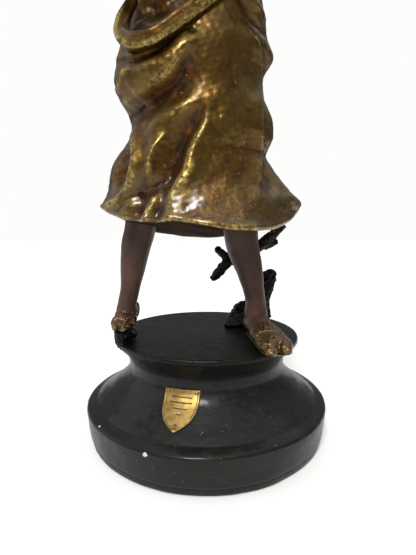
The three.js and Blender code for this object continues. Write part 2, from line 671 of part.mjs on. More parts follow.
const ROCK = [[-53.4, -23, 0, 8.2, 12.5], [-53.6, -24, 3, 7.6, 12.5], [-53.8, -25, 6, 7.4, 12],
  [-53.8, -25, 7.6, 6.8, 11.4]];
const ROOT = [[30, 14, 0, 19.5, 13], [30, 15, 5, 16, 11.5], [31, 16, 11, 12, 9.5], [33, 17.5, 16, 8.5, 8]];
const TRUNK = [[34, 18, 2, 8, 7.5], [35, 18, 14, 7, 7], [36, 19, 30, 6.2, 6.2], [33, 21, 46, 5.6, 5.6],
  [31, 20, 62, 5, 5], [30, 18, 80, 4.4, 4.4]];
const STUB = [[43, 19, 5, 7.4, 5], [42.6, 20, 17, 6.6, 4.8], [44.4, 21, 27, 7.2, 4.6], [47, 22, 34, 7.6, 4],
  [50.5, 22, 38.6, 5.8, 2.8], [53.4, 22, 40.8, 2.4, 1.4]];
const BRANCH_LEFT = [
  [[33, 21, 46, 4.6, 4.6], [24, 24, 50, 4.6, 4.6], [17, 25, 48, 4.6, 4.6], [10, 26, 40, 4.8, 4.4],
    [4.5, 27, 34, 3.6, 3.2]],
  [[20, 25, 49, 4, 4], [13.5, 25.5, 53, 3.8, 3.8], [7.5, 26, 58.5, 2.8, 2.8]],
];
const BRANCH_RIGHT = [
  [[31, 20, 56, 4.8, 4.8], [40, 22, 60, 4.8, 4.8], [50, 25, 68, 4.2, 4.2], [60, 27, 75.5, 2.4, 2.4]],
  [[42, 23, 61, 4, 4], [47, 25, 61, 3.8, 3.8], [54, 26, 63.5, 2.8, 2.8]],
];

function wood(stations, grow = 0) {
  return limb(stations, { sides: 9, steps: 6, grow, side: [0, 1, 0] });
}

// Low mound in level rings, standing a gap above the ground disc.
function mound(stations, grow = 0) {
  const last = stations.length - 1;
  return closedRings(stations.map(([x, y, z, a, b], i) => {
    const ends = i === 0 ? -grow : i === last ? grow : 0;
    return turns(14).map((turn) => [
      x * K + (a * K + grow) * Math.cos(turn),
      y * K + (b * K + grow) * Math.sin(turn),
      GROUND + GAP + z * K + ends,
    ]);
  }));
}

function twigs(paths) {
  return paths.map((path) => limb(path, { sides: 7, steps: 5, side: [0, 0, 1] })).reduce((a,
    b) => a.add(b));
}

// ---------------------------------------------------------------- head and hair

const HEAD = { x: -6, y: -6, z: 314.6, halfX: 16.2, halfY: 19.6, halfZ: 23.4 };
const NECK = [[-6, 0, 285, 10.4, 10], [-6, -0.3, 291, 9.8, 9.8], [-6, -2, 299, 10, 10.4],
  [-6, -4, 308, 9.4, 10.4]];

// Head as a rounded egg: narrower towards the chin, with a brow, a nose, lips and a chin.
function headBlank(grow = 0) {
  const around = turns(22);
  const levels = 15;
  const bump = (value, centre, width) => Math.exp(-(((value - centre) / width) ** 2));
  const rings = [];
  for (let i = 1; i < levels; i += 1) {
    const polar = (Math.PI * i) / levels;
    const up = -Math.cos(polar);
    const belt = Math.sin(polar);
    rings.push(around.map((turn) => {
      const jaw = 1 - 0.22 * Math.max(0, -up - 0.1);
      const front = Math.max(0, -Math.sin(turn));
      const centre = bump(Math.cos(turn), 0, 0.16) * (front > 0.5 ? 1 : 0);
      let push = 0;
      push += 2.6 * centre * bump(up, -0.2, 0.1);
      push += 1.3 * centre * bump(up, -0.02, 0.16);
      push += 0.9 * bump(Math.cos(turn), 0, 0.3) * front * bump(up, -0.46, 0.08);
      push += 1.4 * bump(Math.cos(turn), 0, 0.4) * front * bump(up, -0.82, 0.16);
      push -= 1.5 * front * bump(Math.abs(Math.cos(turn)), 0.42, 0.2) * bump(up, 0.0, 0.13);
      const x = HEAD.x * K + (HEAD.halfX * K * jaw + grow) * belt * Math.cos(turn);
      const y = HEAD.y * K + (HEAD.halfY * K + grow + push * K) * belt * Math.sin(turn);
      const chin = up < 0 ? -1.5 * K * front * up : 0;
      return [x, y - chin, GROUND + HEAD.z * K + (HEAD.halfZ * K + grow) * up];
    }));
  }
  return closedRings(rings);
}

function neckBlank(grow = 0) {
  const stations = NECK.map(([x, y, z, a, b], i) => [x, y, z + (i === 0 ? GAP / K : 0), a, b]);
  return limb(stations, { sides: 12, steps: 4, grow, side: [0, 1, 0] });
}

function egg(x, y, z, halfX, halfY, halfZ, sides, levels) {
  const geometry = new THREE.SphereGeometry(1, sides, levels);
  geometry.rotateX(Math.PI / 2);
  geometry.scale(halfX * K, halfY * K, halfZ * K);
  geometry.translate(x * K, y * K, GROUND + z * K);
  return toSolid(geometry);
}

const HAIR = { x: -6, y: -3.2, z: 317.6, halfX: 18.8, halfY: 21.4, halfZ: 22.4 };
const BUN = { x: -6, y: 20, z: 311, halfX: 10, halfY: 8.5, halfZ: 9 };

function hairCap() {
  const cap = egg(HAIR.x, HAIR.y, HAIR.z, HAIR.halfX, HAIR.halfY, HAIR.halfZ, 20, 12);
  const face = new THREE.BoxGeometry(60 * K, 60 * K, 60 * K);
  face.translate(0, -30 * K, -30 * K);
  face.rotateX(-0.62);
  face.translate(0, -9 * K, GROUND + 328.5 * K);
  const below = box(-200, 200, -200, 200, -200, GROUND + 302 * K);
  return cut(cap, toSolid(face), below, headBlank(GAP), neckBlank(GAP));
}

function hairBun() {
  const bun = egg(BUN.x, BUN.y, BUN.z, BUN.halfX, BUN.halfY, BUN.halfZ, 12, 8);
  const g = GAP / K;
  const cap = egg(HAIR.x, HAIR.y, HAIR.z, HAIR.halfX + g, HAIR.halfY + g, HAIR.halfZ + g, 20, 12);
  return cut(bun, cap, headBlank(GAP));
}

// ---------------------------------------------------------------- assembly

const group = new THREE.Group();
group.name = 'souvenir_figurine';

function put(name, solid, material) {
  const mesh = new THREE.Mesh(toGeometry(solid), MATERIALS[material]);
  mesh.name = name;
  group.add(mesh);
}

function buildPlinth() {
  const wires = ['right', 'left'].map((which) => legWire(which, GAP));
  const pinHoles = Object.values(SHIELD_PINS).map((place) => shieldPin(place, GAP / 2));
  put('plinth_body', cut(plinthBlank(), ...pinHoles), 'plinth');
  put('ground_disc', cut(groundDisc(), ...wires), 'disc');
  put('felt_pad', feltPad(), 'felt');
  put('fixing_stud', fixingStud(), 'steel');
  put('fixing_washer', fixingWasher(), 'steel');
  put('fixing_nut', fixingNut(), 'steel');
  put('brass_shield', cut(shieldPlate(), ...pinHoles), 'brass');
  for (const [name, place] of Object.entries(SHIELD_PINS)) put(name, shieldPin(place, 0), 'brass');
}

function buildGroundwork() {
  const rootGrown = mound(ROOT, GAP);
  const trunkGrown = wood(TRUNK, GAP);
  const feet = ['right', 'left'].map((which) => footBlank(which, GAP));
  const legs = ['right', 'left'].map((which) => leg(which, GAP));
  put('foot_rock', cut(mound(ROCK), legWire('right', GAP), feet[0]), 'bark');
  put('root_mound', cut(mound(ROOT), trunkGrown, feet[1], legs[1]), 'bark');
  put('tree_trunk', wood(TRUNK), 'bark');
  put('broken_stub', cut(wood(STUB), trunkGrown, rootGrown), 'bark');
  put('branch_inner', cut(twigs(BRANCH_LEFT), trunkGrown), 'bark');
  put('branch_outer', cut(twigs(BRANCH_RIGHT), trunkGrown, skirtBlank(GAP)), 'bark');
}

function buildLegs() {
  for (const which of ['right', 'left']) {
    const wire = legWire(which, GAP);
    put(`leg_${which}`, cut(leg(which), wire), 'skin');
    put(`foot_${which}`, cut(footBlank(which), leg(which, GAP), wire), 'skin');
    put(`leg_wire_${which}`, legWire(which), 'steel');
    for (const [place, stations] of Object.entries(STRAPS[which])) {
      put(`sandal_${place}_strap_${which}`, strap(which, stations), 'gold');
    }
  }
  put('sandal_sole_left', cut(frontSole(), legWire('left', GAP)), 'gold');
}

function buildDrapery() {
  const sockets = [leg('right', GAP), leg('left', GAP), wood(TRUNK, GAP)];
  const bodies = [skirtBlank(GAP), girdleBlank(GAP), bodiceBlank(GAP)];
  put('skirt', cut(skirtBlank(), ...sockets, dowel('waist', GAP)), 'gold');
  put('girdle', cut(girdleBlank(), dowel('waist', GAP)), 'gold');
  put('bodice', cut(bodiceBlank(), dowel('waist', GAP), dowel('neck', GAP)), 'gold');
  put('waist_dowel', dowel('waist'), 'steel');
  put('neck_dowel', dowel('neck'), 'steel');
  put('mantle_roll', cut(mantleRollBlank(), ...bodies), 'gold');
  const sleevesGrown = ['right', 'left'].map((which) => sleeveBlank(which, GAP));
  put('mantle_back_fall', mantleFall(sleevesGrown), 'gold');
  const roll = mantleRollBlank(GAP);
  for (const which of ['right', 'left']) {
    const hand = limb(HANDS[which], { sides: 10, steps: 5, side: [0, 0, 1] });
    put(`sleeve_${which}`, cut(sleeveBlank(which), ...bodies), 'gold');
    put(`arm_${which}`, cut(armBlank(which), sleeveBlank(which, GAP), ...bodies, roll), 'skin');
    put(`hand_${which}`, cut(hand, armBlank(which, GAP), ...bodies, roll), 'skin');
  }
}

function buildHead() {
  const collar = box(-200, 200, -200, 200, -200, GROUND + COLLAR_Z * K + GAP);
  put('head', cut(headBlank().add(neckBlank()), dowel('neck', GAP), collar), 'skin');
  put('hair', hairCap(), 'hair');
  put('hair_knot', hairBun(), 'hair');
}

buildPlinth();
buildGroundwork();
buildLegs();
buildDrapery();
buildHead();

export default group;
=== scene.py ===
import math

import bmesh
import bpy
import numpy as np
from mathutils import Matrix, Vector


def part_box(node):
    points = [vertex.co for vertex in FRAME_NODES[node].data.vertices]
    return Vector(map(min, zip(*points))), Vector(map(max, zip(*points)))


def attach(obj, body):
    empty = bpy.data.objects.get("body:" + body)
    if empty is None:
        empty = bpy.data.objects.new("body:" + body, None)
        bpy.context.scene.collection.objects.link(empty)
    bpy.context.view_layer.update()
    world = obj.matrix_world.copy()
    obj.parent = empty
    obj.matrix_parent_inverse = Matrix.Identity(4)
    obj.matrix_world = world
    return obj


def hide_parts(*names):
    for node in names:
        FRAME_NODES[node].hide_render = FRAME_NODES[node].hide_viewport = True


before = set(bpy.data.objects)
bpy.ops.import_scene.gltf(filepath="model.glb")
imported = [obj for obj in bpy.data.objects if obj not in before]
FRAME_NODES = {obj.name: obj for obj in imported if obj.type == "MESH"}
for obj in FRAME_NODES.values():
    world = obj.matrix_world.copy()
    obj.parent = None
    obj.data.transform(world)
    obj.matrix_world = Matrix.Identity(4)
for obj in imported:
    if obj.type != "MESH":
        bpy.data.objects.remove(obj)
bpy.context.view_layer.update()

bl_info = {
    "name": "Souvenir figurine",
    "version": (1, 0, 0),
    "blender": (4, 5, 0),
    "location": "3D View > Sidebar > Figurine",
    "description": "Builds a painted draped figurine on a round plinth around its packed frame",
    "category": "Object",
}

MM = 0.001
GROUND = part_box("ground_disc")[1][2] / MM   # top of the ground disc, where the figure stands
SEAM = 229.0                                # skirt's top above the ground
COLLAR = 285.0                              # bodice's top above the ground


# ------------------------------------------------------------------ numbers and curves

def linear(hex_code):
    """sRGB hex to linear red, green, blue and alpha: the standard curve, channel by channel."""
    channels = [int(hex_code[i:i + 2], 16) / 255 for i in (0, 2, 4)]
    bent = [c / 12.92 if c <= 0.04045 else ((c + 0.055) / 1.055) ** 2.4 for c in channels]
    return (*bent, 1.0)


def through(keys, rows, at):
    """Cubic curve through rows at keys, its slope at a key taken from the key's two neighbours."""
    keys = np.asarray(keys, float)
    rows = np.asarray(rows, float).reshape(len(keys), -1)
    at = np.clip(np.asarray(at, float), keys[0], keys[-1])
    shape = at.shape
    at = at.ravel()
    low = np.clip(np.searchsorted(keys, at, side="right") - 1, 0, len(keys) - 2)
    before = np.maximum(np.arange(len(keys)) - 1, 0)
    after = np.minimum(np.arange(len(keys)) + 1, len(keys) - 1)
    slopes = (rows[after] - rows[before]) / (keys[after] - keys[before])[:, None]
    span = (keys[low + 1] - keys[low])[:, None]
    t = ((at - keys[low]) / span[:, 0])[:, None]
    value = (2 * t**3 - 3 * t**2 + 1) * rows[low] + (t**3 - 2 * t**2 + t) * span * slopes[low]
    value += (3 * t**2 - 2 * t**3) * rows[low + 1] + (t**3 - t**2) * span * slopes[low + 1]
    return value.reshape(*shape, -1)


def hump(value, centre, width):
    """Bell curve: 1 at the centre, fading over the width."""
    return np.exp(-(((value - centre) / width) ** 2))


def ease(value, low, high):
    """0 below low, 1 above high, smooth between."""
    t = np.clip((value - low) / (high - low), 0, 1)
    return t * t * (3 - 2 * t)


def near_line(x, z, line):
    """Distance of points (x, z) from a line of joined points, the side they lie on and how far along.

    The side is +1 to the left of someone walking the line, and along runs from 0 to 1.
    """
    best, side, along = (np.full(np.shape(x), start) for start in (1e9, 1.0, 0.0))
    lengths = [math.dist(a, b) for a, b in zip(line[:-1], line[1:])]
    walked = 0.0
    for (x0, z0), (x1, z1), length in zip(line[:-1], line[1:], lengths):
        dx, dz = (x1 - x0) / length, (z1 - z0) / length
        t = np.clip((x - x0) * dx + (z - z0) * dz, 0, length)
        away = np.hypot(x - x0 - t * dx, z - z0 - t * dz)
        nearer = away < best
        best = np.where(nearer, away, best)
        side = np.where(nearer, np.sign(dx * (z - z0) - dz * (x - x0)), side)
        along = np.where(nearer, (walked + t) / sum(lengths), along)
        walked += length
    return best, side, along


def ripple(points, wavelength, seed):
    """Soft unevenness, -1 to 1: seven sine waves of about one wavelength in fixed odd directions."""
    random = np.random.default_rng(seed)
    total = np.zeros(points.shape[:-1])
    for _ in range(7):
        direction = random.normal(size=3)
        direction /= np.linalg.norm(direction)
        wave = wavelength * random.uniform(0.7, 1.4)
        total += np.sin(points @ direction * (2 * np.pi / wave) + random.uniform(0, 6.28))
    return total / 3.5


def normals_of(rings):
    """Outward directions of a grid of rings, from the steps along and round it."""
    along = np.gradient(rings, axis=0)
    round_ = np.roll(rings, -1, axis=1) - np.roll(rings, 1, axis=1)
    out = np.cross(round_, along)
    return out / np.maximum(np.linalg.norm(out, axis=-1, keepdims=True), 1e-9)


def loft(stations, sides, steps, side=(0, 1, 0), section=None):
    """Rings along stations (x, y, z, half width, half depth): ellipses square to a smooth path.

    section(along 0-1, turn) scales the ellipse's radius, for creases and ridges.
    """
    stations = np.array(stations, float)
    at = np.linspace(0, len(stations) - 1, steps + 1)
    rows = through(np.arange(len(stations)), stations, at)
    centre = rows[:, :3]
    ahead = np.gradient(centre, axis=0)
    ahead /= np.linalg.norm(ahead, axis=1, keepdims=True)
    u = np.cross(np.array(side, float), ahead)
    u /= np.linalg.norm(u, axis=1, keepdims=True)
    v = np.cross(ahead, u)
    turn = np.linspace(0, 2 * np.pi, sides, endpoint=False)[None, :]
    scale = 1.0
    if section is not None:
        scale = section(np.linspace(0, 1, steps + 1)[:, None], turn)
    wide = rows[:, 3:4] * np.cos(turn) * scale
    deep = rows[:, 4:5] * np.sin(turn) * scale
    return centre[:, None] + wide[..., None] * u[:, None] + deep[..., None] * v[:, None]


def rounded(rings, share=0.5):
    """Closes both ends of a loft with three shrinking rings that bulge like a thumb."""
    def end(ring, beyond):
        middle = ring.mean(axis=0)
        out = middle - beyond.mean(axis=0)
        out /= max(np.linalg.norm(out), 1e-9)
        size = np.linalg.norm(ring - middle, axis=1).mean()
        return [middle + (ring - middle) * math.cos(a) + out * size * share * math.sin(a)
                for a in (0.55, 1.05, 1.4)]
    start = end(rings[0], rings[1])[::-1]
    finish = end(rings[-1], rings[-2])
    return np.concatenate([np.array(start), rings, np.array(finish)])


# ------------------------------------------------------------------ meshes

def grid_faces(rows, columns, first=0):
    """Quads between neighbouring rings, and a fan over each end."""
    index = np.arange(rows * columns).reshape(rows, columns) + first
    nxt = np.roll(index, -1, axis=1)
    quads = np.stack([index[:-1], nxt[:-1], nxt[1:], index[1:]], axis=-1).reshape(-1, 4)
    start, finish = first + rows * columns, first + rows * columns + 1
    low = np.stack([np.full(columns, start), nxt[0], index[0]], axis=-1)
    high = np.stack([np.full(columns, finish), index[-1], nxt[-1]], axis=-1)
    return quads.tolist() + low.tolist() + high.tolist()


def ring_points(rings):
    """All points of the rings in order, then the middle of the first and of the last."""
    return np.vstack([rings.reshape(-1, 3), rings[0].mean(axis=0), rings[-1].mean(axis=0)])


def to_metres(points):
    """Figure millimetres, measured up from the ground disc, to metres in the row's frame."""
    placed = np.array(points, float)
    placed[:, 2] += GROUND
    return placed * MM


def new_piece(name, points, faces, node, slot, marks=None):
    """Mesh object from points in metres in place of a CAD node; marks are values kept on its points."""
    mesh = bpy.data.meshes.new(name)
    mesh.from_pydata(points.tolist(), [], faces)
    mesh.polygons.foreach_set("use_smooth", np.ones(len(mesh.polygons), bool))
    for mark, values in (marks or {}).items():
        mesh.attributes.new(mark, "FLOAT", "POINT").data.foreach_set("value", values.astype(np.float32))
    mesh.materials.append(finish_of(slot))
    mesh.update()
    piece = bpy.data.objects.new(name, mesh)
    bpy.context.scene.collection.objects.link(piece)
    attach(piece, "root")
    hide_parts(node)
    return piece


def ring_piece(name, rings, node, slot, fold=None):
    """One closed surface over rings; fold is how far each point stands over or in the drapery's folds."""
    marks = {}
    if fold is not None:
        marks["fold"] = np.concatenate([fold.ravel(), [fold[0].mean(), fold[-1].mean()]])
    return new_piece(name, to_metres(ring_points(rings)), grid_faces(*rings.shape[:2]), node, slot, marks)


def fused(parts, voxel, smoothing):
    """Points and faces of closed parts melted into one skin: a voxel remesh, then smoothing."""
    points, faces = [], []
    for rings in parts:
        faces += grid_faces(*rings.shape[:2], first=sum(len(p) for p in points))
        points.append(ring_points(rings))
    mesh = bpy.data.meshes.new("melt")
    mesh.from_pydata(np.concatenate(points).tolist(), [], faces)
    melt = bpy.data.objects.new("melt", mesh)
    bpy.context.scene.collection.objects.link(melt)
    remesh = melt.modifiers.new("melt", "REMESH")
    remesh.mode = "VOXEL"
    remesh.voxel_size = voxel
    smooth = melt.modifiers.new("soften", "SMOOTH")
    smooth.factor = 0.5
    smooth.iterations = smoothing
    graph = bpy.context.evaluated_depsgraph_get()
    done = melt.evaluated_get(graph).to_mesh()
    count = len(done.vertices)
    found = np.empty(count * 3)
    done.vertices.foreach_get("co", found)
    outward = np.empty(count * 3)
    done.vertices.foreach_get("normal", outward)
    polygons = [list(p.vertices) for p in done.polygons]
    melt.evaluated_get(graph).to_mesh_clear()
    bpy.data.objects.remove(melt)
    bpy.data.meshes.remove(mesh)
    return found.reshape(-1, 3), outward.reshape(-1, 3), polygons


def fused_piece(name, parts, voxel, smoothing, node, slot, roughen=None):
    """A melted piece; roughen(points) gives how far each point moves outward, in millimetres."""
    points, outward, faces = fused(parts, voxel, smoothing)
    if roughen is not None:
        points = points + outward * roughen(points)[:, None]
    return new_piece(name, to_metres(points), faces, node, slot)


# ------------------------------------------------------------------ material nodes

EASED = {"interpolation_type": "SMOOTHSTEP"}   # map range: 0 value, 1-2 from low to high, 3-4 to low to high
COLOURS = {"data_type": "RGBA", "out": 2}      # mix: 0 share, 6 first colour, 7 second colour


def join(tree, node, inputs):
    """Gives a node's inputs, by name or number, a value or another node's output each."""
    for key, value in inputs.items():
        if isinstance(value, bpy.types.NodeSocket):
            tree.links.new(value, node.inputs[key])
        else:
            node.inputs[key].default_value = value


def add(tree, kind, inputs, out=0, **settings):
    """Adds a shader node with its settings and inputs, and gives the output that is asked for."""
    node = tree.nodes.new("ShaderNode" + kind)
    for key, value in settings.items():
        setattr(node, key, value)
    join(tree, node, inputs)
    return node.outputs[out]


def new_material(name):
    """Empty material with its principled shader joined to the output."""
    material = bpy.data.materials.new(name)
    material.use_nodes = True
    tree = material.node_tree
    tree.nodes.clear()
    shader = tree.nodes.new("ShaderNodeBsdfPrincipled")
    output = tree.nodes.new("ShaderNodeOutputMaterial")
    tree.links.new(shader.outputs[0], output.inputs["Surface"])
    return material, tree, shader


def gold_bronze_paint(paints):
    """Gold bronze powder paint over a brown ground: bright on ridges, partly rub wear and partly a painted
    highlight; brown in the folds, partly the ground showing and partly painted shade.
    """
    material, tree, shader = new_material("gold_bronze_paint")
    place = add(tree, "TexCoord", {}, out="Object")
    fold = add(tree, "Attribute", {}, out="Fac", attribute_name="fold")
    edge = add(tree, "NewGeometry", {}, out="Pointiness")
    height = add(tree, "SeparateXYZ", {0: place}, out="Z")
    low_down = add(tree, "MapRange", {0: height, 1: GROUND * MM + 0.115, 2: GROUND * MM + 0.085}, **EASED)
    drawn = add(tree, "Mapping", {"Vector": place, "Scale": (1.0, 1.0, 0.14)})
    cloud, patch, brush, fleck, scratch = (
        add(tree, "TexNoise", {"Vector": where, "Scale": 1 / (mm * MM), "Detail": detail, "Roughness": rough})
        for where, mm, detail, rough in (
            (place, 34, 3.0, 0.5), (place, 9, 5.0, 0.6), (drawn, 2.4, 4.0, 0.6), (place, 0.9, 3.0, 0.6),
            (place, 2.6, 7.0, 0.8)))
    dents = add(tree, "TexVoronoi", {"Vector": place, "Scale": 1 / (2.8 * MM), "Smoothness": 0.8},
                feature="SMOOTH_F1")
    # broad colour: olive and warm clouds, streaked by the brush and stained with umber
    warm = add(tree, "MapRange", {0: cloud, 1: 0.36, 2: 0.64}, **EASED)
    streak = add(tree, "MapRange", {0: brush, 1: 0.48, 2: 0.70, 4: 0.5}, **EASED)
    stain = add(tree, "MapRange", {0: patch, 1: 0.48, 2: 0.68, 4: 0.6}, **EASED)
    # folds: the deeper, the browner; partly brown ground showing through, partly painted shade in the creases
    jitter = add(tree, "MapRange", {0: patch, 3: -0.4, 4: 0.4})
    sunk = add(tree, "Math", {0: fold, 1: jitter}, operation="ADD")
    tint = add(tree, "MapRange", {0: patch, 1: 0.42, 2: 0.62, 4: 0.7}, **EASED)
    brown = add(tree, "Mix", {0: tint, 6: paints.gold_umber, 7: paints.gold_orange}, **COLOURS)
    fold_brown_and_shade = add(tree, "MapRange", {0: sunk, 1: 0.0, 2: -0.8}, **EASED)
    # ridges: bright where they are rubbed, in scratches, and also a painted highlight along the ridges
    worn_edge_and_highlight = add(tree, "MapRange", {0: edge, 1: 0.515, 2: 0.57, 4: 0.8}, **EASED)
    worn_fold_and_highlight = add(tree, "MapRange", {0: fold, 1: 0.3, 2: 1.2, 4: 0.7}, **EASED)
    ridge = add(tree, "Math", {0: worn_edge_and_highlight, 1: worn_fold_and_highlight}, operation="MAXIMUM")
    scraped = add(tree, "MapRange", {0: scratch, 1: 0.40, 2: 0.62}, **EASED)
    brightened = add(tree, "Math", {0: ridge, 1: scraped}, operation="MULTIPLY")
    flake = add(tree, "MapRange", {0: scratch, 1: 0.59, 2: 0.68, 4: 0.75}, **EASED)
    somewhere = add(tree, "MapRange", {0: cloud, 1: 0.44, 2: 0.60}, **EASED)
    loose = add(tree, "Math", {0: flake, 1: somewhere}, operation="MULTIPLY")
    # bottoms of the folds and the underside are matt umber: partly bare brown ground, partly painted shade in
    # the deep creases and under the skirt
    bare_ground_and_shade = add(tree, "MapRange", {0: fold, 1: -0.95, 2: -1.4}, **EASED)
    base = paints.gold_dull
    for share, paint in (
        (warm, paints.gold_warm), (streak, paints.gold_orange), (stain, paints.gold_umber), (fold_brown_and_shade, brown),
        (brightened, paints.gold_bright), (loose, paints.gold_bright), (bare_ground_and_shade, paints.gold_umber),
    ):
        base = add(tree, "Mix", {0: share, 6: base, 7: paint}, **COLOURS)
    shine = add(tree, "MapRange", {0: sunk, 1: -0.9, 2: 0.1, 3: 0.3, 4: 0.8}, **EASED)
    metal = add(tree, "MapRange", {0: bare_ground_and_shade, 3: 1.0, 4: 0.0})
    metal = add(tree, "Math", {0: metal, 1: shine}, operation="MULTIPLY")
    satin = add(tree, "MapRange", {0: patch, 1: 0.3, 2: 0.7, 3: 0.30, 4: 0.46}, **EASED)
    polished = add(tree, "MapRange", {0: low_down, 3: 0.0, 4: -0.08})
    rough = add(tree, "Math", {0: satin, 1: polished}, operation="ADD")
    rough = add(tree, "Math", {0: rough, 1: bare_ground_and_shade}, operation="MAXIMUM")
    lacquer = add(tree, "MapRange", {0: low_down, 3: 0.22, 4: 0.8})
    coat = add(tree, "MapRange", {0: bare_ground_and_shade, 3: lacquer, 4: 0.0})
    # relief: dents and scratches, stronger near the hem, brush lines and grain
    worked = add(tree, "Math", {0: dents, 1: scratch}, operation="ADD")
    deep = add(tree, "MapRange", {0: low_down, 3: 0.22, 4: 1.2})
    relief = add(tree, "Math", {0: worked, 1: deep}, operation="MULTIPLY")
    relief = add(tree, "Math", {0: brush, 1: 0.45, 2: relief}, operation="MULTIPLY_ADD")
    relief = add(tree, "Math", {0: fleck, 1: 0.2, 2: relief}, operation="MULTIPLY_ADD")
    join(tree, shader, {
        "Base Color": base, "Metallic": metal, "Roughness": rough, "Coat Weight": coat, "Coat Roughness": 0.2,
        "Specular IOR Level": 0.12, "Normal": add(tree, "Bump", {"Height": relief, "Distance": 0.34 * MM}),
    })
    return material


def flesh_enamel(paints):
    """Brown enamel brushed on smooth plaster: satin gloss, thin and paler where it was handled."""
    material, tree, shader = new_material("flesh_enamel")
    place = add(tree, "TexCoord", {}, out="Object")
    edge = add(tree, "NewGeometry", {}, out="Pointiness")
    drawn = add(tree, "Mapping", {"Vector": place, "Scale": (1.0, 1.0, 0.2)})
    cloud, fleck, streak = (
        add(tree, "TexNoise", {"Vector": where, "Scale": 1 / (mm * MM), "Detail": detail, "Roughness": rough})
        for where, mm, detail, rough in (
            (place, 14, 4.0, 0.5), (place, 1.1, 4.0, 0.65), (drawn, 1.6, 3.0, 0.6)))
    thin = add(tree, "MapRange", {0: cloud, 1: 0.35, 2: 0.65}, **EASED)
    sharp = add(tree, "MapRange", {0: edge, 1: 0.50, 2: 0.58, 4: 0.6}, **EASED)
    broken = add(tree, "MapRange", {0: fleck, 1: 0.40, 2: 0.62}, **EASED)
    worn = add(tree, "Math", {0: sharp, 1: broken}, operation="MULTIPLY")
    pooled = add(tree, "MapRange", {0: fleck, 1: 0.64, 2: 0.74, 4: 0.35}, **EASED)
    base = paints.flesh_deep
    for share, paint in ((thin, paints.flesh), (worn, paints.flesh_worn), (pooled, paints.flesh_deep)):
        base = add(tree, "Mix", {0: share, 6: base, 7: paint}, **COLOURS)
    rough = add(tree, "MapRange", {0: fleck, 1: 0.3, 2: 0.7, 3: 0.36, 4: 0.54}, **EASED)
    relief = add(tree, "Math", {0: fleck, 1: 0.5, 2: streak}, operation="MULTIPLY_ADD")
    join(tree, shader, {
        "Base Color": base, "Roughness": rough, "Specular IOR Level": 0.25, "Coat Weight": 0.10,
        "Coat Roughness": 0.3, "Normal": add(tree, "Bump", {"Height": relief, "Distance": 0.14 * MM}),
    })
    return material


def hair_enamel(paints):
    """Dark brown enamel pooled between combed strands."""
    material, tree, shader = new_material("hair_enamel")
    place = add(tree, "TexCoord", {}, out="Object")
    edge = add(tree, "NewGeometry", {}, out="Pointiness")
    fleck = add(tree, "TexNoise", {"Vector": place, "Scale": 1 / (1.3 * MM), "Detail": 4.0})
    ridge = add(tree, "MapRange", {0: edge, 1: 0.47, 2: 0.56}, **EASED)
    pooled = add(tree, "MapRange", {0: fleck, 1: 0.55, 2: 0.75, 4: 0.5}, **EASED)
    base = paints.hair_deep
    for share, paint in ((ridge, paints.hair), (pooled, paints.hair_deep)):
        base = add(tree, "Mix", {0: share, 6: base, 7: paint}, **COLOURS)
    join(tree, shader, {
        "Base Color": base,
        "Roughness": add(tree, "MapRange", {0: fleck, 1: 0.3, 2: 0.7, 3: 0.35, 4: 0.55}, **EASED),
        "Normal": add(tree, "Bump", {"Height": fleck, "Distance": 0.12 * MM}),
    })
    return material


def black_enamel(paints):
    """Black enamel laid thickly on modelled bark: glossy, with dusty olive on the worn ridges."""
    material, tree, shader = new_material("black_enamel")
    place = add(tree, "TexCoord", {}, out="Object")
    edge = add(tree, "NewGeometry", {}, out="Pointiness")
    cloud, fleck = (
        add(tree, "TexNoise", {"Vector": place, "Scale": 1 / (mm * MM), "Detail": detail, "Roughness": rough})
        for mm, detail, rough in ((8, 5.0, 0.5), (1.0, 4.0, 0.65)))
    dusty = add(tree, "MapRange", {0: cloud, 1: 0.4, 2: 0.7, 4: 0.6}, **EASED)
    sharp = add(tree, "MapRange", {0: edge, 1: 0.50, 2: 0.60, 4: 0.55}, **EASED)
    broken = add(tree, "MapRange", {0: fleck, 1: 0.35, 2: 0.60}, **EASED)
    worn = add(tree, "Math", {0: sharp, 1: broken}, operation="MULTIPLY")
    base = paints.black
    for share, paint in ((dusty, paints.black_olive), (worn, paints.black_worn)):
        base = add(tree, "Mix", {0: share, 6: base, 7: paint}, **COLOURS)
    rough = add(tree, "MapRange", {0: cloud, 1: 0.3, 2: 0.7, 3: 0.24, 4: 0.44}, **EASED)
    relief = add(tree, "Math", {0: fleck, 1: 0.6, 2: cloud}, operation="MULTIPLY_ADD")
    join(tree, shader, {
        "Base Color": base, "Roughness": rough, "Specular IOR Level": 0.16,
        "Normal": add(tree, "Bump", {"Height": relief, "Distance": 0.3 * MM}),
    })
    return material


CHIPS = (   # where the plinth's paint is knocked off to the white plaster: place and size, mm
    ((-33.0, -78.3, 23.0), 1.5), ((-68.0, -50.2, 26.6), 0.9), ((-64.8, -52.6, 25.6), 0.8),
    ((-77.5, -24.0, 31.0), 0.7), ((-79.3, -20.5, 28.6), 1.1), ((-80.5, -12.0, 27.6), 0.9),
    ((30.5, -67.0, 33.5), 0.5), ((52.0, -60.0, 30.5), 0.5),
)

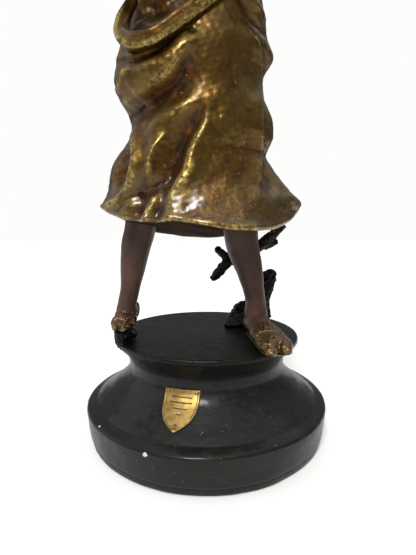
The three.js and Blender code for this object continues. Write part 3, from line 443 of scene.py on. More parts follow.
def plinth_enamel(paints):
    """Charcoal enamel on a turned plaster plinth: satin, brushed round, chipped to white at the arris."""
    material, tree, shader = new_material("plinth_enamel")
    place = add(tree, "TexCoord", {}, out="Object")
    edge = add(tree, "NewGeometry", {}, out="Pointiness")
    across, away, up = (add(tree, "SeparateXYZ", {0: place}, out=axis) for axis in "XYZ")
    # brush lines run round: the noise is drawn on a thin tube, 20 mm in radius
    turn = add(tree, "Math", {0: away, 1: across}, operation="ARCTAN2")
    cosine, sine = (add(tree, "Math", {0: turn}, operation=which) for which in ("COSINE", "SINE"))
    run_x, run_y = (add(tree, "Math", {0: part, 1: 20 * MM}, operation="MULTIPLY") for part in (cosine, sine))
    run = add(tree, "CombineXYZ", {0: run_x, 1: run_y, 2: up})
    brush, cloud, dust, fleck = (
        add(tree, "TexNoise", {"Vector": where, "Scale": 1 / (mm * MM), "Detail": detail, "Roughness": rough})
        for where, mm, detail, rough in (
            (run, 1.5, 4.0, 0.6), (place, 26, 4.0, 0.5), (place, 5, 6.0, 0.7), (place, 0.9, 3.0, 0.6)))
    olive = add(tree, "MapRange", {0: cloud, 1: 0.35, 2: 0.68}, **EASED)
    lines = add(tree, "MapRange", {0: brush, 1: 0.45, 2: 0.75, 4: 0.35}, **EASED)
    sharp = add(tree, "MapRange", {0: edge, 1: 0.502, 2: 0.53, 4: 0.45}, **EASED)
    patchy = add(tree, "MapRange", {0: dust, 1: 0.42, 2: 0.62}, **EASED)
    brightened = add(tree, "Math", {0: sharp, 1: patchy}, operation="MULTIPLY")
    # specks of dust, then the chips
    both = add(tree, "Math", {0: dust, 1: 0.25, 2: fleck}, operation="MULTIPLY_ADD")
    speck = add(tree, "MapRange", {0: both, 1: 0.845, 2: 0.87, 4: 0.5}, **EASED)
    chipped = 0.0
    for centre, size in CHIPS:
        middle = tuple(c * MM for c in centre)
        far = add(tree, "VectorMath", {0: place, 1: middle}, out="Value", operation="DISTANCE")
        ragged = add(tree, "MapRange", {0: fleck, 3: -size * MM, 4: size * MM})
        far = add(tree, "Math", {0: far, 1: ragged}, operation="ADD")
        hole = add(tree, "MapRange", {0: far, 1: 0.8 * size * MM, 2: size * MM, 3: 1.0, 4: 0.0}, **EASED)
        chipped = add(tree, "Math", {0: hole, 1: chipped}, operation="MAXIMUM")
    base = paints.plinth
    for share, paint in (
        (olive, paints.plinth_olive), (lines, paints.plinth_grey), (brightened, paints.plinth_grey),
        (speck, paints.plaster), (chipped, paints.plaster),
    ):
        base = add(tree, "Mix", {0: share, 6: base, 7: paint}, **COLOURS)
    rough = add(tree, "MapRange", {0: brush, 1: 0.3, 2: 0.7, 3: 0.30, 4: 0.42}, **EASED)
    rough = add(tree, "Math", {0: dust, 1: 0.12, 2: rough}, operation="MULTIPLY_ADD")
    rough = add(tree, "Math", {0: rough, 1: chipped}, operation="MAXIMUM")
    relief = add(tree, "Math", {0: brush, 1: 0.6}, operation="MULTIPLY")
    relief = add(tree, "Math", {0: dust, 1: 0.8, 2: relief}, operation="MULTIPLY_ADD")
    relief = add(tree, "Math", {0: chipped, 1: -1.5, 2: relief}, operation="MULTIPLY_ADD")
    join(tree, shader, {
        "Base Color": base, "Roughness": rough, "Specular IOR Level": 0.12, "Coat Weight": 0.22,
        "Coat Roughness": 0.14, "Normal": add(tree, "Bump", {"Height": relief, "Distance": 0.22 * MM}),
    })
    return material


def engraved_brass(paints):
    """Rolled sheet brass, lacquered and yellowed, its engraved lines filled black."""
    material, tree, shader = new_material("engraved_brass")
    place = add(tree, "TexCoord", {}, out="Object")
    line = add(tree, "Attribute", {}, out="Fac", attribute_name="engraved")
    fine, cloud = (
        add(tree, "TexNoise", {"Vector": place, "Scale": 1 / (mm * MM), "Detail": detail, "Roughness": rough})
        for mm, detail, rough in ((0.5, 3.0, 0.6), (5, 4.0, 0.5)))
    dull = add(tree, "MapRange", {0: cloud, 1: 0.35, 2: 0.7}, **EASED)
    spotted = add(tree, "MapRange", {0: fine, 1: 0.58, 2: 0.78, 4: 0.35}, **EASED)
    dark = add(tree, "MapRange", {0: line, 1: 0.35, 2: 0.65}, **EASED)
    base = paints.brass
    for share, paint in ((dull, paints.brass_dull), (spotted, paints.brass_dull), (dark, paints.black)):
        base = add(tree, "Mix", {0: share, 6: base, 7: paint}, **COLOURS)
    join(tree, shader, {
        "Base Color": base, "Metallic": add(tree, "MapRange", {0: dark, 3: 0.9, 4: 0.0}),
        "Roughness": add(tree, "MapRange", {0: fine, 1: 0.3, 2: 0.7, 3: 0.30, 4: 0.5}, **EASED),
        "Normal": add(tree, "Bump", {"Height": fine, "Distance": 0.05 * MM}),
    })
    return material


def bare_steel(paints):
    """Mild steel wire and bar, dull grey with drawing lines."""
    material, tree, shader = new_material("bare_steel")
    place = add(tree, "TexCoord", {}, out="Object")
    drawn = add(tree, "Mapping", {"Vector": place, "Scale": (1.0, 1.0, 0.1)})
    fleck = add(tree, "TexNoise", {"Vector": drawn, "Scale": 1 / (0.8 * MM), "Detail": 3.0, "Roughness": 0.6})
    join(tree, shader, {
        "Base Color": add(tree, "Mix", {0: fleck, 6: paints.steel, 7: paints.steel_dark}, **COLOURS),
        "Metallic": 1.0,
        "Roughness": add(tree, "MapRange", {0: fleck, 1: 0.3, 2: 0.7, 3: 0.35, 4: 0.55}, **EASED),
        "Normal": add(tree, "Bump", {"Height": fleck, "Distance": 0.04 * MM}),
    })
    return material


def green_felt(paints):
    """Pressed wool felt: matt, with a short fuzzy nap."""
    material, tree, shader = new_material("green_felt")
    place = add(tree, "TexCoord", {}, out="Object")
    nap = add(tree, "TexNoise", {"Vector": place, "Scale": 1 / (0.6 * MM), "Detail": 6.0, "Roughness": 0.7})
    cloud = add(tree, "TexNoise", {"Vector": place, "Scale": 1 / (12 * MM), "Detail": 3.0})
    base = add(tree, "Mix", {0: nap, 6: paints.felt_deep, 7: paints.felt}, **COLOURS)
    shade = add(tree, "Math", {0: cloud, 1: 0.4}, operation="MULTIPLY")
    join(tree, shader, {
        "Base Color": add(tree, "Mix", {0: shade, 6: base, 7: paints.felt_deep}, **COLOURS),
        "Roughness": 0.95, "Sheen Weight": 0.4,
        "Normal": add(tree, "Bump", {"Height": nap, "Distance": 0.25 * MM}),
    })
    return material


FINISHES = {   # material slot: the finish on it
    "gold_paint": gold_bronze_paint, "flesh_paint": flesh_enamel, "hair_paint": hair_enamel,
    "bark_paint": black_enamel, "disc_paint": black_enamel, "plinth_paint": plinth_enamel,
    "brass": engraved_brass, "steel": bare_steel, "felt": green_felt,
}
MADE = {}


def finish_of(slot):
    """Material of a slot, made once; slots with the same paint share it."""
    make = FINISHES[slot]
    if make not in MADE:
        MADE[make] = make(bpy.context.scene.figurine_paints)
    return MADE[make]


# ------------------------------------------------------------------ draped body

BODY_KEYS = (66, 91, 100, 113, 121, 127, 134, 147, 159, 172, 185, 197, 209, 221, 229,
             238, 251, 265, 275, 281, 285)
BODY_ROWS = (   # leftmost x, rightmost x, front y, back y
    (-66.5, 59.5, -56, 38), (-68.5, 62, -48.5, 37), (-66, 54, -45.5, 35), (-63.5, 43.5, -43.5, 33),
    (-59, 38.5, -42, 32), (-54, 40.5, -41.5, 31), (-50.5, 43, -41, 30), (-52.5, 42, -39.5, 28.5),
    (-57, 37, -38, 28), (-59.5, 36.5, -36.5, 27), (-58, 43, -34.5, 26), (-54, 39, -32, 25),
    (-50.5, 38, -29.5, 23), (-45.5, 35.5, -26.5, 20.5), (-40, 31, -24, 18.5), (-33, 26, -22, 16.5),
    (-37, 28, -26, 17), (-38, 30, -22, 17), (-35, 26, -17, 15), (-24, 13, -12.5, 11.5),
    (-17, 5, -10, 9),
)
HEM_KEYS = (0, 40, 90, 140, 180, 215, 240, 262, 288, 318, 345, 360)
HEM_ROWS = (92, 75, 66, 75, 91, 80.5, 77, 77, 72.5, 74, 84.5, 92)

# Folds: line of (x, z) seen from the front, width to its left and to its right, height, faded ends.
FOLDS = (
    (((-4, 181), (-10, 171), (-14, 162), (-21, 155), (-32, 151), (-44, 148), (-54, 146)),
     9.0, 4.2, -6.4, "start"),
    (((-64, 170), (-42, 166), (-24, 168), (-13, 177)), 11, 11, 4.4, ""),
    (((-62, 178), (-53, 176), (-45, 173), (-38, 174), (-28, 176), (-20, 182), (-10, 190)),
     2.4, 4.0, -2.6, "end"),
    (((-58, 176), (-55, 171), (-54, 166), (-58, 161)), 3.2, 3.2, -3.0, "both"),
    (((-42, 170), (-48, 165), (-53, 161.5), (-62, 161)), 2.4, 2.8, 1.8, "start"),
    (((-2, 148), (-12, 142), (-22, 137), (-32, 131), (-37, 122)), 9, 8, 2.6, "both"),
    (((0, 147), (-5, 138), (-10, 130), (-14, 121), (-17, 111), (-21, 101), (-25, 94)),
     4.0, 9.0, -7.2, "both"),
    (((-20, 102), (-29, 99), (-40, 96), (-50, 93)), 5.0, 6.0, -3.0, "start"),
    (((1, 147), (-4, 138), (-8.5, 129), (-11, 119), (-14, 108), (-17, 97), (-20, 89), (-21, 74)),
     10.0, 4.2, 2.8, "start"),
    (((-23, 129), (-29, 122), (-32, 115), (-33, 108), (-32, 99)), 2.4, 4.2, 3.0, "both"),
    (((-47, 147), (-47, 141), (-44, 132), (-42, 121), (-42, 112), (-45, 103), (-50, 96), (-57, 90),
      (-68, 86)), 5.5, 3.2, 4.6, "start"),
    (((-54, 124), (-52, 115), (-54, 106), (-59, 98)), 4.6, 4.6, -5.4, "both"),
    (((-44, 98), (-40, 89), (-44, 77)), 4.2, 4.2, -3.4, "start"),
    (((-27, 96), (-32, 87), (-37, 76)), 3.2, 3.2, 2.6, "start"),
    (((-23, 99), (-26, 90), (-30, 76)), 2.4, 2.4, -1.0, "start"),
    (((-20, 76), (0, 73), (18, 71), (38, 74)), 12, 12, 5.0, "both"),
    (((19, 199), (28, 190), (32, 183), (34, 176), (33, 167), (33, 152), (33, 137), (33, 124), (32, 112),
      (31, 98), (31, 80)), 2.6, 5.5, 3.0, "both"),
    (((29, 193), (35, 185), (38, 177), (38, 168), (37, 150), (37, 138), (36, 122)), 5.0, 2.8, -4.0, "both"),
    (((34, 125), (40, 114), (46, 103), (58, 88)), 3.0, 3.0, 2.4, "start"),
    (((35, 121), (38, 108), (42, 90)), 2.6, 2.6, -2.2, "both"),
    (((20, 198), (24, 194.5), (28, 191), (31, 186)), 1.1, 1.1, -1.6, "both"),
    (((17, 215), (25, 203), (30, 199), (40, 196)), 3.2, 2.4, -2.8, "start"),
    (((24, 214), (32, 209), (42, 208)), 3.0, 3.0, 2.2, ""),
    (((13, 148), (17, 160)), 14, 14, 1.0, ""),
    (((4, 172), (9, 186)), 16, 16, 2.4, ""),
    (((-35, 207), (-27, 209), (-18, 214), (-8, 221)), 11, 11, -9.5, ""),
    (((6, 147), (8, 136)), 1.2, 1.2, -0.7, "both"),
    (((-9.5, 187), (-8, 186)), 1.8, 1.8, -1.5, ""),
)


def fold_height(x, z):
    """Sum over the folds of height times a bell curve of the distance from the fold's line.

    The bell has one width on each side of the line, so a fold can be steep on one side, and it sinks
    away towards an end that is faded.
    """
    total = np.zeros(np.shape(x))
    for line, left, right, high, faded in FOLDS:
        smooth = through(np.arange(len(line)), line, np.linspace(0, len(line) - 1, 2 * len(line) + 1))
        away, side, along = near_line(x, z, smooth.tolist())
        wide = np.where(side > 0, left, right)
        rise = np.ones(np.shape(x))
        if faded in ("start", "both"):
            rise = rise * ease(along, -0.02, 0.3)
        if faded in ("end", "both"):
            rise = rise * ease(1 - along, -0.02, 0.3)
        total += high * rise * np.exp(-((away / (wide * (0.45 + 0.55 * rise))) ** 2))
    return total


def cavity(push, passes=40):
    """How far each point stands above the average of its surroundings: ridges over 0, valleys under."""
    soft = push.copy()
    for _ in range(passes):
        soft = (np.roll(soft, 1, axis=1) + np.roll(soft, -1, axis=1) + 2 * soft) / 4
        grown = np.concatenate([soft[:1], soft, soft[-1:]])
        soft = (grown[:-2] + grown[2:] + 2 * soft) / 4
    return np.clip((push - soft) / 1.6, -1.5, 1.5)


def body(turn, z, lift=0.0, fine=True):
    """Point of the draped body at an angle and height, and how far folds push it out.

    An ellipse of the height's own half widths and depths, moved out along its normal by the folds in
    front, the pleats at the back, the body's unevenness and lift.
    """
    turn, z = np.broadcast_arrays(np.asarray(turn, float), np.asarray(z, float))
    rows = through(BODY_KEYS, BODY_ROWS, z)
    left, right, front, back = (rows[..., i] for i in range(4))
    half = (right - left) / 2
    cos, sin = np.cos(turn), np.sin(turn)
    depth = np.where(sin < 0, -front, back)
    x = (left + right) / 2 + half * cos
    y = depth * sin
    facing = ease(-sin, 0.0, 0.5)
    low = np.clip((SEAM - 10 - z) / 60, 0, 1)
    pleats = (1 - facing) * low * 2.2 * np.cos(7 * turn + 0.6)
    fade = np.clip((SEAM + 4 - z) / 12, 0, 1)
    push = facing * fade * fold_height(x, z) + pleats
    if fine:
        spot = np.stack([x, y, z], axis=-1)
        push = push + 0.34 * ripple(spot, 11, 3) + 0.14 * ripple(spot, 4.5, 4)
    slant = np.hypot(cos / half, sin / depth)
    out = push + lift
    point = np.stack([x + out * cos / half / slant, y + out * sin / depth / slant, z], axis=-1)
    return point, push


def rest_on_body(points, lift):
    """Moves points that lie inside the draped body out to its surface plus lift."""
    rows = through(BODY_KEYS, BODY_ROWS, points[..., 2])
    left, right, front, back = (rows[..., i] for i in range(4))
    centre = (left + right) / 2
    depth = np.where(points[..., 1] < 0, -front, back)
    turn = np.arctan2(points[..., 1] / depth, (points[..., 0] - centre) * 2 / (right - left))
    surface, _ = body(turn, points[..., 2], lift)
    reach = np.hypot(points[..., 0] - centre, points[..., 1])
    skin = np.hypot(surface[..., 0] - centre, surface[..., 1])
    inside = (reach < skin)[..., None]
    return np.where(inside, surface, points)


def hem(turn):
    """Height of the hem at an angle."""
    return through(HEM_KEYS, HEM_ROWS, np.degrees(turn) % 360)[..., 0]


def skirt_rings():
    """Rings of the skirt from the middle of its underside out to the hem and up to the waist.

    Underside: the hem's outline, made even and shrunk to the middle, on a plane that rises to the front.
    Outside: the draped body, with a bead just over the hem.
    """
    turn = np.linspace(0, 2 * np.pi, 384, endpoint=False)
    around = np.stack([np.cos(turn) * 60, np.sin(turn) * 60, 0 * turn], axis=-1)
    low = hem(turn) + 0.35 * ripple(around, 16, 8)
    edge, _ = body(turn, low + 1.2)
    even = edge
    for _ in range(300):
        even = (np.roll(even, 1, axis=0) + np.roll(even, -1, axis=0) + 2 * even) / 4
    rings, marks = [], []
    under = 26
    for share in np.linspace(0.04, 0.97, under):
        blend = share ** 5
        ring = even + (edge - even) * share ** 16
        ring[:, 0] = -4 + (ring[:, 0] + 4) * share
        ring[:, 1] = ring[:, 1] * share
        floor = 72 - 0.155 * ring[:, 1] + 0.8 * ripple(ring * [1, 1, 0], 14, 9)
        ring[:, 2] = floor * (1 - blend) + (low + 0.6) * blend
        rings.append(ring)
        # the underside gets the lowest fold value, so the gold paint makes it matt umber: partly bare ground,
        # partly painted shade under the skirt
        marks.append(np.full(len(turn), -1.5))
    lip = body(turn, low + 0.1)[0]
    lip[:, :2] = lip[:, :2] * 0.992
    rings.append(lip)
    marks.append(np.full(len(turn), 0.3))
    for share in np.linspace(0, 1, 176) ** 0.92:
        z = low + 0.6 + (SEAM - low - 0.6) * share
        bead = 1.1 * hump(z, low + 2.4, 2.2) - 0.5 * hump(z, low, 0.8)
        point, push = body(turn, z, bead)
        rings.append(point)
        marks.append(push + bead)
    marks = np.array(marks)
    marks[under + 1:] = cavity(marks[under + 1:])
    return np.array(rings), marks


def mantle_sheet(columns=150, levels=110):
    """Mantle on the back: two skins over the body between two angles, joined round their edge."""
    share = np.linspace(0, 1, columns)
    turn = np.radians(22 + 136 * share)
    bottom = 148 + 26 * np.abs(share - 0.45) + 1.2 * np.cos(share * 19)
    rings, marks = [], []
    for up in np.linspace(0, 1, levels):
        z = bottom + (276 - bottom) * up
        belt = hump(z, SEAM + 4, 8) * 2.1
        wave = 1.5 * (1 - 0.6 * up) * np.cos(share * 19) + 0.7 * (1 - 0.5 * up) * np.cos(share * 43 + 2 * up)
        edge = np.sqrt(np.clip(np.minimum(share, 1 - share) * 22, 0, 1)) * min(1.0, 0.35 + up * 14)
        under, _ = body(turn, z, 0.5 + belt, fine=False)
        over, _ = body(turn, z, 0.5 + belt + (4 + wave) * (0.15 + 0.85 * edge), fine=False)
        rings.append(np.concatenate([over, under[::-1]]))
        marks.append(np.concatenate([wave / 2.2, np.full(columns, -0.5)]))
    return np.array(rings), np.array(marks)


# ------------------------------------------------------------------ settings

class FigurinePlinth(bpy.types.PropertyGroup):
    """Sizes of the plinth's surface"""

    unevenness: bpy.props.FloatProperty(
        name="Unevenness", description="How far the turned surface wanders", default=0.22 * MM, unit="LENGTH")
    engraving: bpy.props.FloatProperty(
        name="Engraving depth", description="Depth of the shield's lines", default=0.14 * MM, unit="LENGTH")


class FigurineBody(bpy.types.PropertyGroup):
    """Sizes of the figure's surface"""

    bark_depth: bpy.props.FloatProperty(
        name="Bark depth", description="Depth of the furrows in the bark", default=0.8 * MM, unit="LENGTH")
    strap_lump: bpy.props.FloatProperty(
        name="Strap lumps", description="How uneven the gold straps are", default=0.5 * MM, unit="LENGTH")


def colour(name, description, hex_code):
    """Colour setting whose default is an sRGB hex value."""
    return bpy.props.FloatVectorProperty(
        name=name, description=description, default=linear(hex_code), size=4, min=0, max=1, subtype="COLOR")


class FigurinePaints(bpy.types.PropertyGroup):
    """Colours of the paints and metals"""

    gold_dull: colour("Dull gold", "Olive gold of the broad surfaces", "5a481c")
    gold_warm: colour("Warm gold", "Browner gold of the broad surfaces", "553a14")
    # bright gold: rubbed ridges and flecks, also the painted highlight on ridges and on the mantle roll
    gold_bright: colour("Bright gold", "Gold rubbed bright on ridges", "c2ab60")
    # umber and burnt orange: brown ground in the folds and stains, also painted shade in creases and under
    # the skirt
    gold_umber: colour("Umber", "Brown ground left in the folds", "2c1a08")
    gold_orange: colour("Burnt orange", "Thin gold over brown in the folds", "5e340c")
    flesh: colour("Flesh", "Brown enamel of the skin", "493228")
    flesh_deep: colour("Deep flesh", "Thicker brown enamel", "38251d")
    flesh_worn: colour("Worn flesh", "Enamel rubbed thin", "776353")
    hair: colour("Hair", "Brown of the hair's ridges", "32231a")
    hair_deep: colour("Deep hair", "Paint pooled between strands", "120c08")
    black: colour("Black", "Black enamel", "0b0c09")
    black_olive: colour("Olive black", "Black enamel gone dusty", "191b14")
    black_worn: colour("Worn black", "Black enamel rubbed at the edges", "3c3e33")
    plinth: colour("Charcoal", "Charcoal enamel of the plinth", "111212")
    plinth_olive: colour("Olive charcoal", "Plinth enamel with an olive tint", "141510")
    plinth_grey: colour("Grey rub", "Plinth enamel rubbed grey", "2a2d2d")
    plaster: colour("Plaster", "White plaster under the paint", "cfccc2")
    brass: colour("Brass", "Lacquered sheet brass", "987f4a")
    brass_dull: colour("Dull brass", "Yellowed lacquer", "755d2e")
    steel: colour("Steel", "Mild steel", "8a8884")
    steel_dark: colour("Dark steel", "Mild steel in the drawing lines", "5b5a57")
    felt: colour("Felt", "Green wool felt", "31463a")
    felt_deep: colour("Deep felt", "Green wool felt in the nap", "18251d")


class FigurineStage(bpy.types.PropertyGroup):
    """Camera and lights"""

    camera_place: bpy.props.FloatVectorProperty(
        name="Camera place", description="Where the camera stands", default=(0.00111, -0.27256, 0.14498),
        size=3, subtype="TRANSLATION", unit="LENGTH")
    camera_pitch: bpy.props.FloatProperty(
        name="Camera pitch", description="How far the camera looks down", default=0.12902, subtype="ANGLE")
    lens: bpy.props.FloatProperty(
        name="Lens", description="Focal length in millimetres on a 36 mm frame", default=24.97, unit="CAMERA")


# ------------------------------------------------------------------ plinth and its parts

PLINTH_RADIUS = (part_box("plinth_body")[1][0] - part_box("plinth_body")[0][0]) / 2 / MM
BORE = 3.35   # radius of the hole for the fixing stud
PLINTH_KEYS = (0, 1.5, 4.6, 5.2, 5.9, 15, 22.4, 23.9, 25.2, 26.6, 27.3, 27.9, 30.3, 33.2, 37.2, 41.2, 45.2,
               49.2, 54.5, 58, 61.2, 64.4, 66.5)
PLINTH_SHARES = (0.955, 0.9615, 0.968, 0.9655, 0.9735, 0.988, 0.9985, 0.9985, 0.985, 0.945, 0.922, 0.912,
                 0.874, 0.824, 0.766, 0.712, 0.674, 0.652, 0.654, 0.667, 0.69, 0.724, 0.748)


def plinth_radius(z):
    """Radius of the plinth at a height above the floor, millimetres."""
    return through(PLINTH_KEYS, PLINTH_SHARES, z)[..., 0] * PLINTH_RADIUS


def turned(name, profile, node, slot, sides, uneven):
    """Surface of revolution of a closed profile (radius, height), with slow and quick unevenness."""
    profile = np.array(profile, float)
    turn = np.linspace(0, 2 * np.pi, sides, endpoint=False)
    rings = np.empty((len(profile), sides, 3))
    rings[..., 0] = profile[:, 0:1] * np.cos(turn)
    rings[..., 1] = profile[:, 0:1] * np.sin(turn)
    rings[..., 2] = profile[:, 1:2]
    outward = np.stack([np.cos(turn), np.sin(turn), 0 * turn], axis=-1)
    shift = uneven * (ripple(rings, 42, 21) + 0.5 * ripple(rings, 17, 22) + 0.25 * ripple(rings, 7, 23))
    shift = shift - uneven
    shift *= np.clip((profile[:, 0:1] - 20) / 20, 0, 1)
    rings += shift[..., None] * outward
    index = np.arange(rings.shape[0] * sides).reshape(rings.shape[0], sides)
    beyond = np.roll(index, -1, axis=0)
    nxt, nxt_beyond = np.roll(index, -1, axis=1), np.roll(beyond, -1, axis=1)
    faces = np.stack([index, nxt, nxt_beyond, beyond], axis=-1).reshape(-1, 4).tolist()
    return new_piece(name, rings.reshape(-1, 3) * MM, faces, node, slot)


class FIGURINE_OT_plinth(bpy.types.Operator):
    """Turned plinth with its cove, dome, groove and lower band"""

    bl_idname = "figurine.plinth"
    bl_label = "Plinth"

    def execute(self, context):
        settings = context.scene.figurine_plinth
        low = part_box("plinth_body")[0][2] / MM
        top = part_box("plinth_body")[1][2] / MM
        foot, groove, dome = (np.linspace(*span) for span in ((low, 22, 40), (22.3, 30, 60), (30, top, 80)))
        z = np.concatenate([foot, groove[:-1], dome])
        outside = np.stack([plinth_radius(z), z], axis=-1)
        recess_radius, recess_top = 15.0, low + 12.0
        seat = [(BORE, top), (BORE, recess_top), (recess_radius, recess_top), (recess_radius, low)]
        across = [(r, low) for r in np.linspace(recess_radius + 8, plinth_radius(low) - 1.2, 6)]
        profile = np.concatenate([outside, seat, across])
        turned("plinth_turning", profile, "plinth_body", "plinth_paint", 300, settings.unevenness / MM)
        return {"FINISHED"}


class FIGURINE_OT_ground_disc(bpy.types.Operator):
    """Thin round ground under the figure, with a rolled lip"""

    bl_idname = "figurine.ground_disc"
    bl_label = "Ground disc"

    def execute(self, context):
        (x0, _, low), (x1, _, top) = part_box("ground_disc")
        radius, low, top = (x1 - x0) / 2 / MM, low / MM, top / MM
        blind = low + 2.95
        lip = [(radius - 1.5, low)]
        for a in np.linspace(-1.4, 0, 8):
            lip.append((radius - 1.3 + 1.3 * math.cos(a), low + 1.5 + 1.5 * math.sin(a)))
        for a in np.linspace(0.1, 1.5, 12):
            lip.append((radius - 1.6 + 1.6 * math.cos(a), top - 1.7 + 1.7 * math.sin(a)))
        floor = [(r, top - 0.25 * (1 - (r / radius) ** 6)) for r in np.linspace(radius - 2.2, 1.0, 60)]
        profile = lip + floor + [(0.05, top - 0.25), (0.05, blind), (BORE, blind), (BORE, low)]
        turned("ground_casting", profile, "ground_disc", "disc_paint", 260, 0.12)
        return {"FINISHED"}


SHIELD_AZIMUTH = math.radians(-104.5)
SHIELD_TOP, SHIELD_TIP, SHIELD_HALF = 49.4, 31.2, 11.0   # heights on the plinth, half width
SHIELD_TALL = 24.5                                       # along the slope
RULES = ((0.24, 6.4), (0.38, 6.9), (0.52, 4.6), (0.64, 1.6))   # share of the way down, half length
PINS = (("upper_right", -8.8, 47.8), ("upper_left", 8.8, 47.8), ("tip", 0.0, 33.3))
SHIELD_KEYS = (0, 0.35, 0.6, 0.78, 0.9, 0.97, 1)
SHIELD_SIDES = (0.98, 1.0, 0.93, 0.72, 0.42, 0.16, 0.02)


def on_plinth(across, z, lift):
    """Point above the plinth's slope: across is an arc round it, lift is along its normal."""
    radius = plinth_radius(z)
    slope = (plinth_radius(z + 1.5) - plinth_radius(z - 1.5)) / 3.0
    tilt = np.hypot(1, slope)
    turn = SHIELD_AZIMUTH + across / radius
    r = radius + lift / tilt
    return np.stack([r * np.cos(turn), r * np.sin(turn), z - lift * slope / tilt], axis=-1)


def engraved_depth(across, down):
    """0 to 1 where the shield is engraved: a line inside its border and four plain rules."""
    half = through(SHIELD_KEYS, SHIELD_SIDES, down)[..., 0] * SHIELD_HALF
    inset = np.minimum(np.minimum(half - np.abs(across), down * SHIELD_TALL), (1 - down) * SHIELD_TALL * 0.8)
    border = hump(inset, 1.3, 0.16)
    rules = 0
    for at, reach in RULES:
        rules = rules + hump(down * SHIELD_TALL, at * SHIELD_TALL, 0.28) * (np.abs(across) < reach)
    return np.clip(border + rules, 0, 1)


class FIGURINE_OT_shield(bpy.types.Operator):
    """Thin brass shield bent to the slope of the plinth, with three round-headed pins"""

    bl_idname = "figurine.shield"
    bl_label = "Brass shield"

    def execute(self, context):
        depth = context.scene.figurine_plinth.engraving / MM
        rows, columns = 150, 120
        down = np.linspace(0, 1, rows)[:, None]
        half = through(SHIELD_KEYS, SHIELD_SIDES, down)[..., 0] * SHIELD_HALF
        across = half * np.linspace(-1, 1, columns)[None, :]
        z = SHIELD_TOP + (SHIELD_TIP - SHIELD_TOP) * down + 0 * across
        carve = engraved_depth(across, down + 0 * across)
        rim = np.minimum(np.minimum(half - np.abs(across), down * SHIELD_TALL), (1 - down) * 20)
        soft = 0.28 * np.exp(-((rim / 0.35) ** 2))
        over = on_plinth(across, z, 1.08 - depth * carve - soft)
        under = on_plinth(across, z, 0.34 + 0 * across)
        rings = np.concatenate([over, under[:, ::-1]], axis=1)
        marks = np.concatenate([carve, 0 * carve], axis=1)
        engraved = {"engraved": np.concatenate([marks.ravel(), [0, 0]])}
        faces = grid_faces(rows, 2 * columns)
        shield = new_piece("shield_plate", ring_points(rings) * MM, faces, "brass_shield", "brass", engraved)
        turn_outward(shield)
        for place, across_at, z_at in PINS:
            pin = dome_pin(across_at, z_at)
            points, faces = ring_points(pin) * MM, grid_faces(*pin.shape[:2])
            turn_outward(new_piece(f"escutcheon_pin_{place}", points, faces, f"shield_pin_{place}", "brass"))
        return {"FINISHED"}


def dome_pin(across, z):
    """Pin of revolution on the shield's normal: a shank, a flange and a domed head with a worn crown."""
    base = on_plinth(np.array(across), np.array(z), np.array(0.0))
    out = on_plinth(np.array(across), np.array(z), np.array(1.0)) - base
    out /= np.linalg.norm(out)
    u = np.cross([0, 0, 1], out)
    u /= np.linalg.norm(u)
    v = np.cross(out, u)
    profile = [(-4.8, 0.12), (-4.2, 0.45), (1.1, 0.48), (1.16, 0.9), (1.28, 0.95), (1.45, 0.86), (1.6, 0.66),
               (1.7, 0.4), (1.74, 0.15)]
    turn = np.linspace(0, 2 * np.pi, 28, endpoint=False)
    round_pin = u * np.cos(turn)[:, None] + v * np.sin(turn)[:, None]
    return np.array([base + out * h + round_pin * r for h, r in profile])


def turn_outward(piece):
    """Recalculates the faces of a closed piece so that they point out."""
    mesh = piece.data
    work = bmesh.new()
    work.from_mesh(mesh)
    bmesh.ops.recalc_face_normals(work, faces=work.faces)
    work.to_mesh(mesh)
    work.free()
    mesh.update()


FIXINGS = {   # CAD nodes that keep their own shape
    "fixing_stud": "steel", "fixing_washer": "steel", "fixing_nut": "steel", "leg_wire_right": "steel",
    "leg_wire_left": "steel", "waist_dowel": "steel", "neck_dowel": "steel", "felt_pad": "felt",
}


class FIGURINE_OT_fixings(bpy.types.Operator):
    """Finishes for the felt pad, the stud with its nut and washer, the wires and the dowels"""

    bl_idname = "figurine.fixings"
    bl_label = "Fixings"

    def execute(self, context):
        for node, slot in FIXINGS.items():
            materials = FRAME_NODES[node].data.materials
            materials.clear()
            materials.append(finish_of(slot))
        return {"FINISHED"}


# ------------------------------------------------------------------ rock, stump and branches

def barked(depth, furrows):
    """Section function of bark: furrows that wander along the limb, deeper between ridges."""
    def section(along, turn):
        wander = 0.7 * np.sin(along * 7) + 0.4 * np.sin(along * 17 + 1)
        lines = np.cos(furrows * turn + wander * 2.0)
        knots = 0.5 * np.sin(along * 23 + 2 * turn) * np.sin(3 * turn + along * 9)
        return 1 + depth * (0.6 * lines + 0.6 * knots)
    return section


# Stations of each limb: x, y, height, half width, half depth.
ROCK = ((-53.6, -23, 0.5, 7.4, 12), (-53.8, -24, 3, 6.8, 12), (-54, -25, 6, 6.6, 11.6),
        (-54, -25, 7.4, 6, 10.6))
ROOT = ((30, 14, 0.5, 18.8, 12.4), (30, 15, 5, 15.4, 11), (31, 16, 11, 11.4, 9), (33, 17.5, 15.6, 7.8, 7.4))
TRUNK = ((34, 18, 3, 7.8, 7.3), (35, 18, 14, 6.8, 6.8), (36, 19, 30, 6, 6), (33, 21, 46, 5.4, 5.4),
         (31, 20, 62, 4.8, 4.8), (30, 18, 79, 4.2, 4.2))
STUB = ((43, 19, 5.5, 7.0, 4.8), (42.6, 20, 17, 6.2, 4.6), (44.4, 21, 27, 6.8, 4.4), (47, 22, 34, 7.2, 3.8),
        (50.5, 22, 38.4, 5.4, 2.6), (53.4, 22, 40.4, 2.2, 1.2))
BRANCH_INNER = (
    ((33, 21, 46, 4.3, 4.3), (24, 24, 50, 4.3, 4.3), (17, 25, 48, 4.2, 4.2), (10, 26, 40, 4.4, 4.0),
     (4.8, 27, 34.4, 3.2, 2.8)),
    ((20, 25, 49, 3.7, 3.7), (13.5, 25.5, 53, 3.5, 3.5), (7.8, 26, 58.2, 2.5, 2.5)),
)
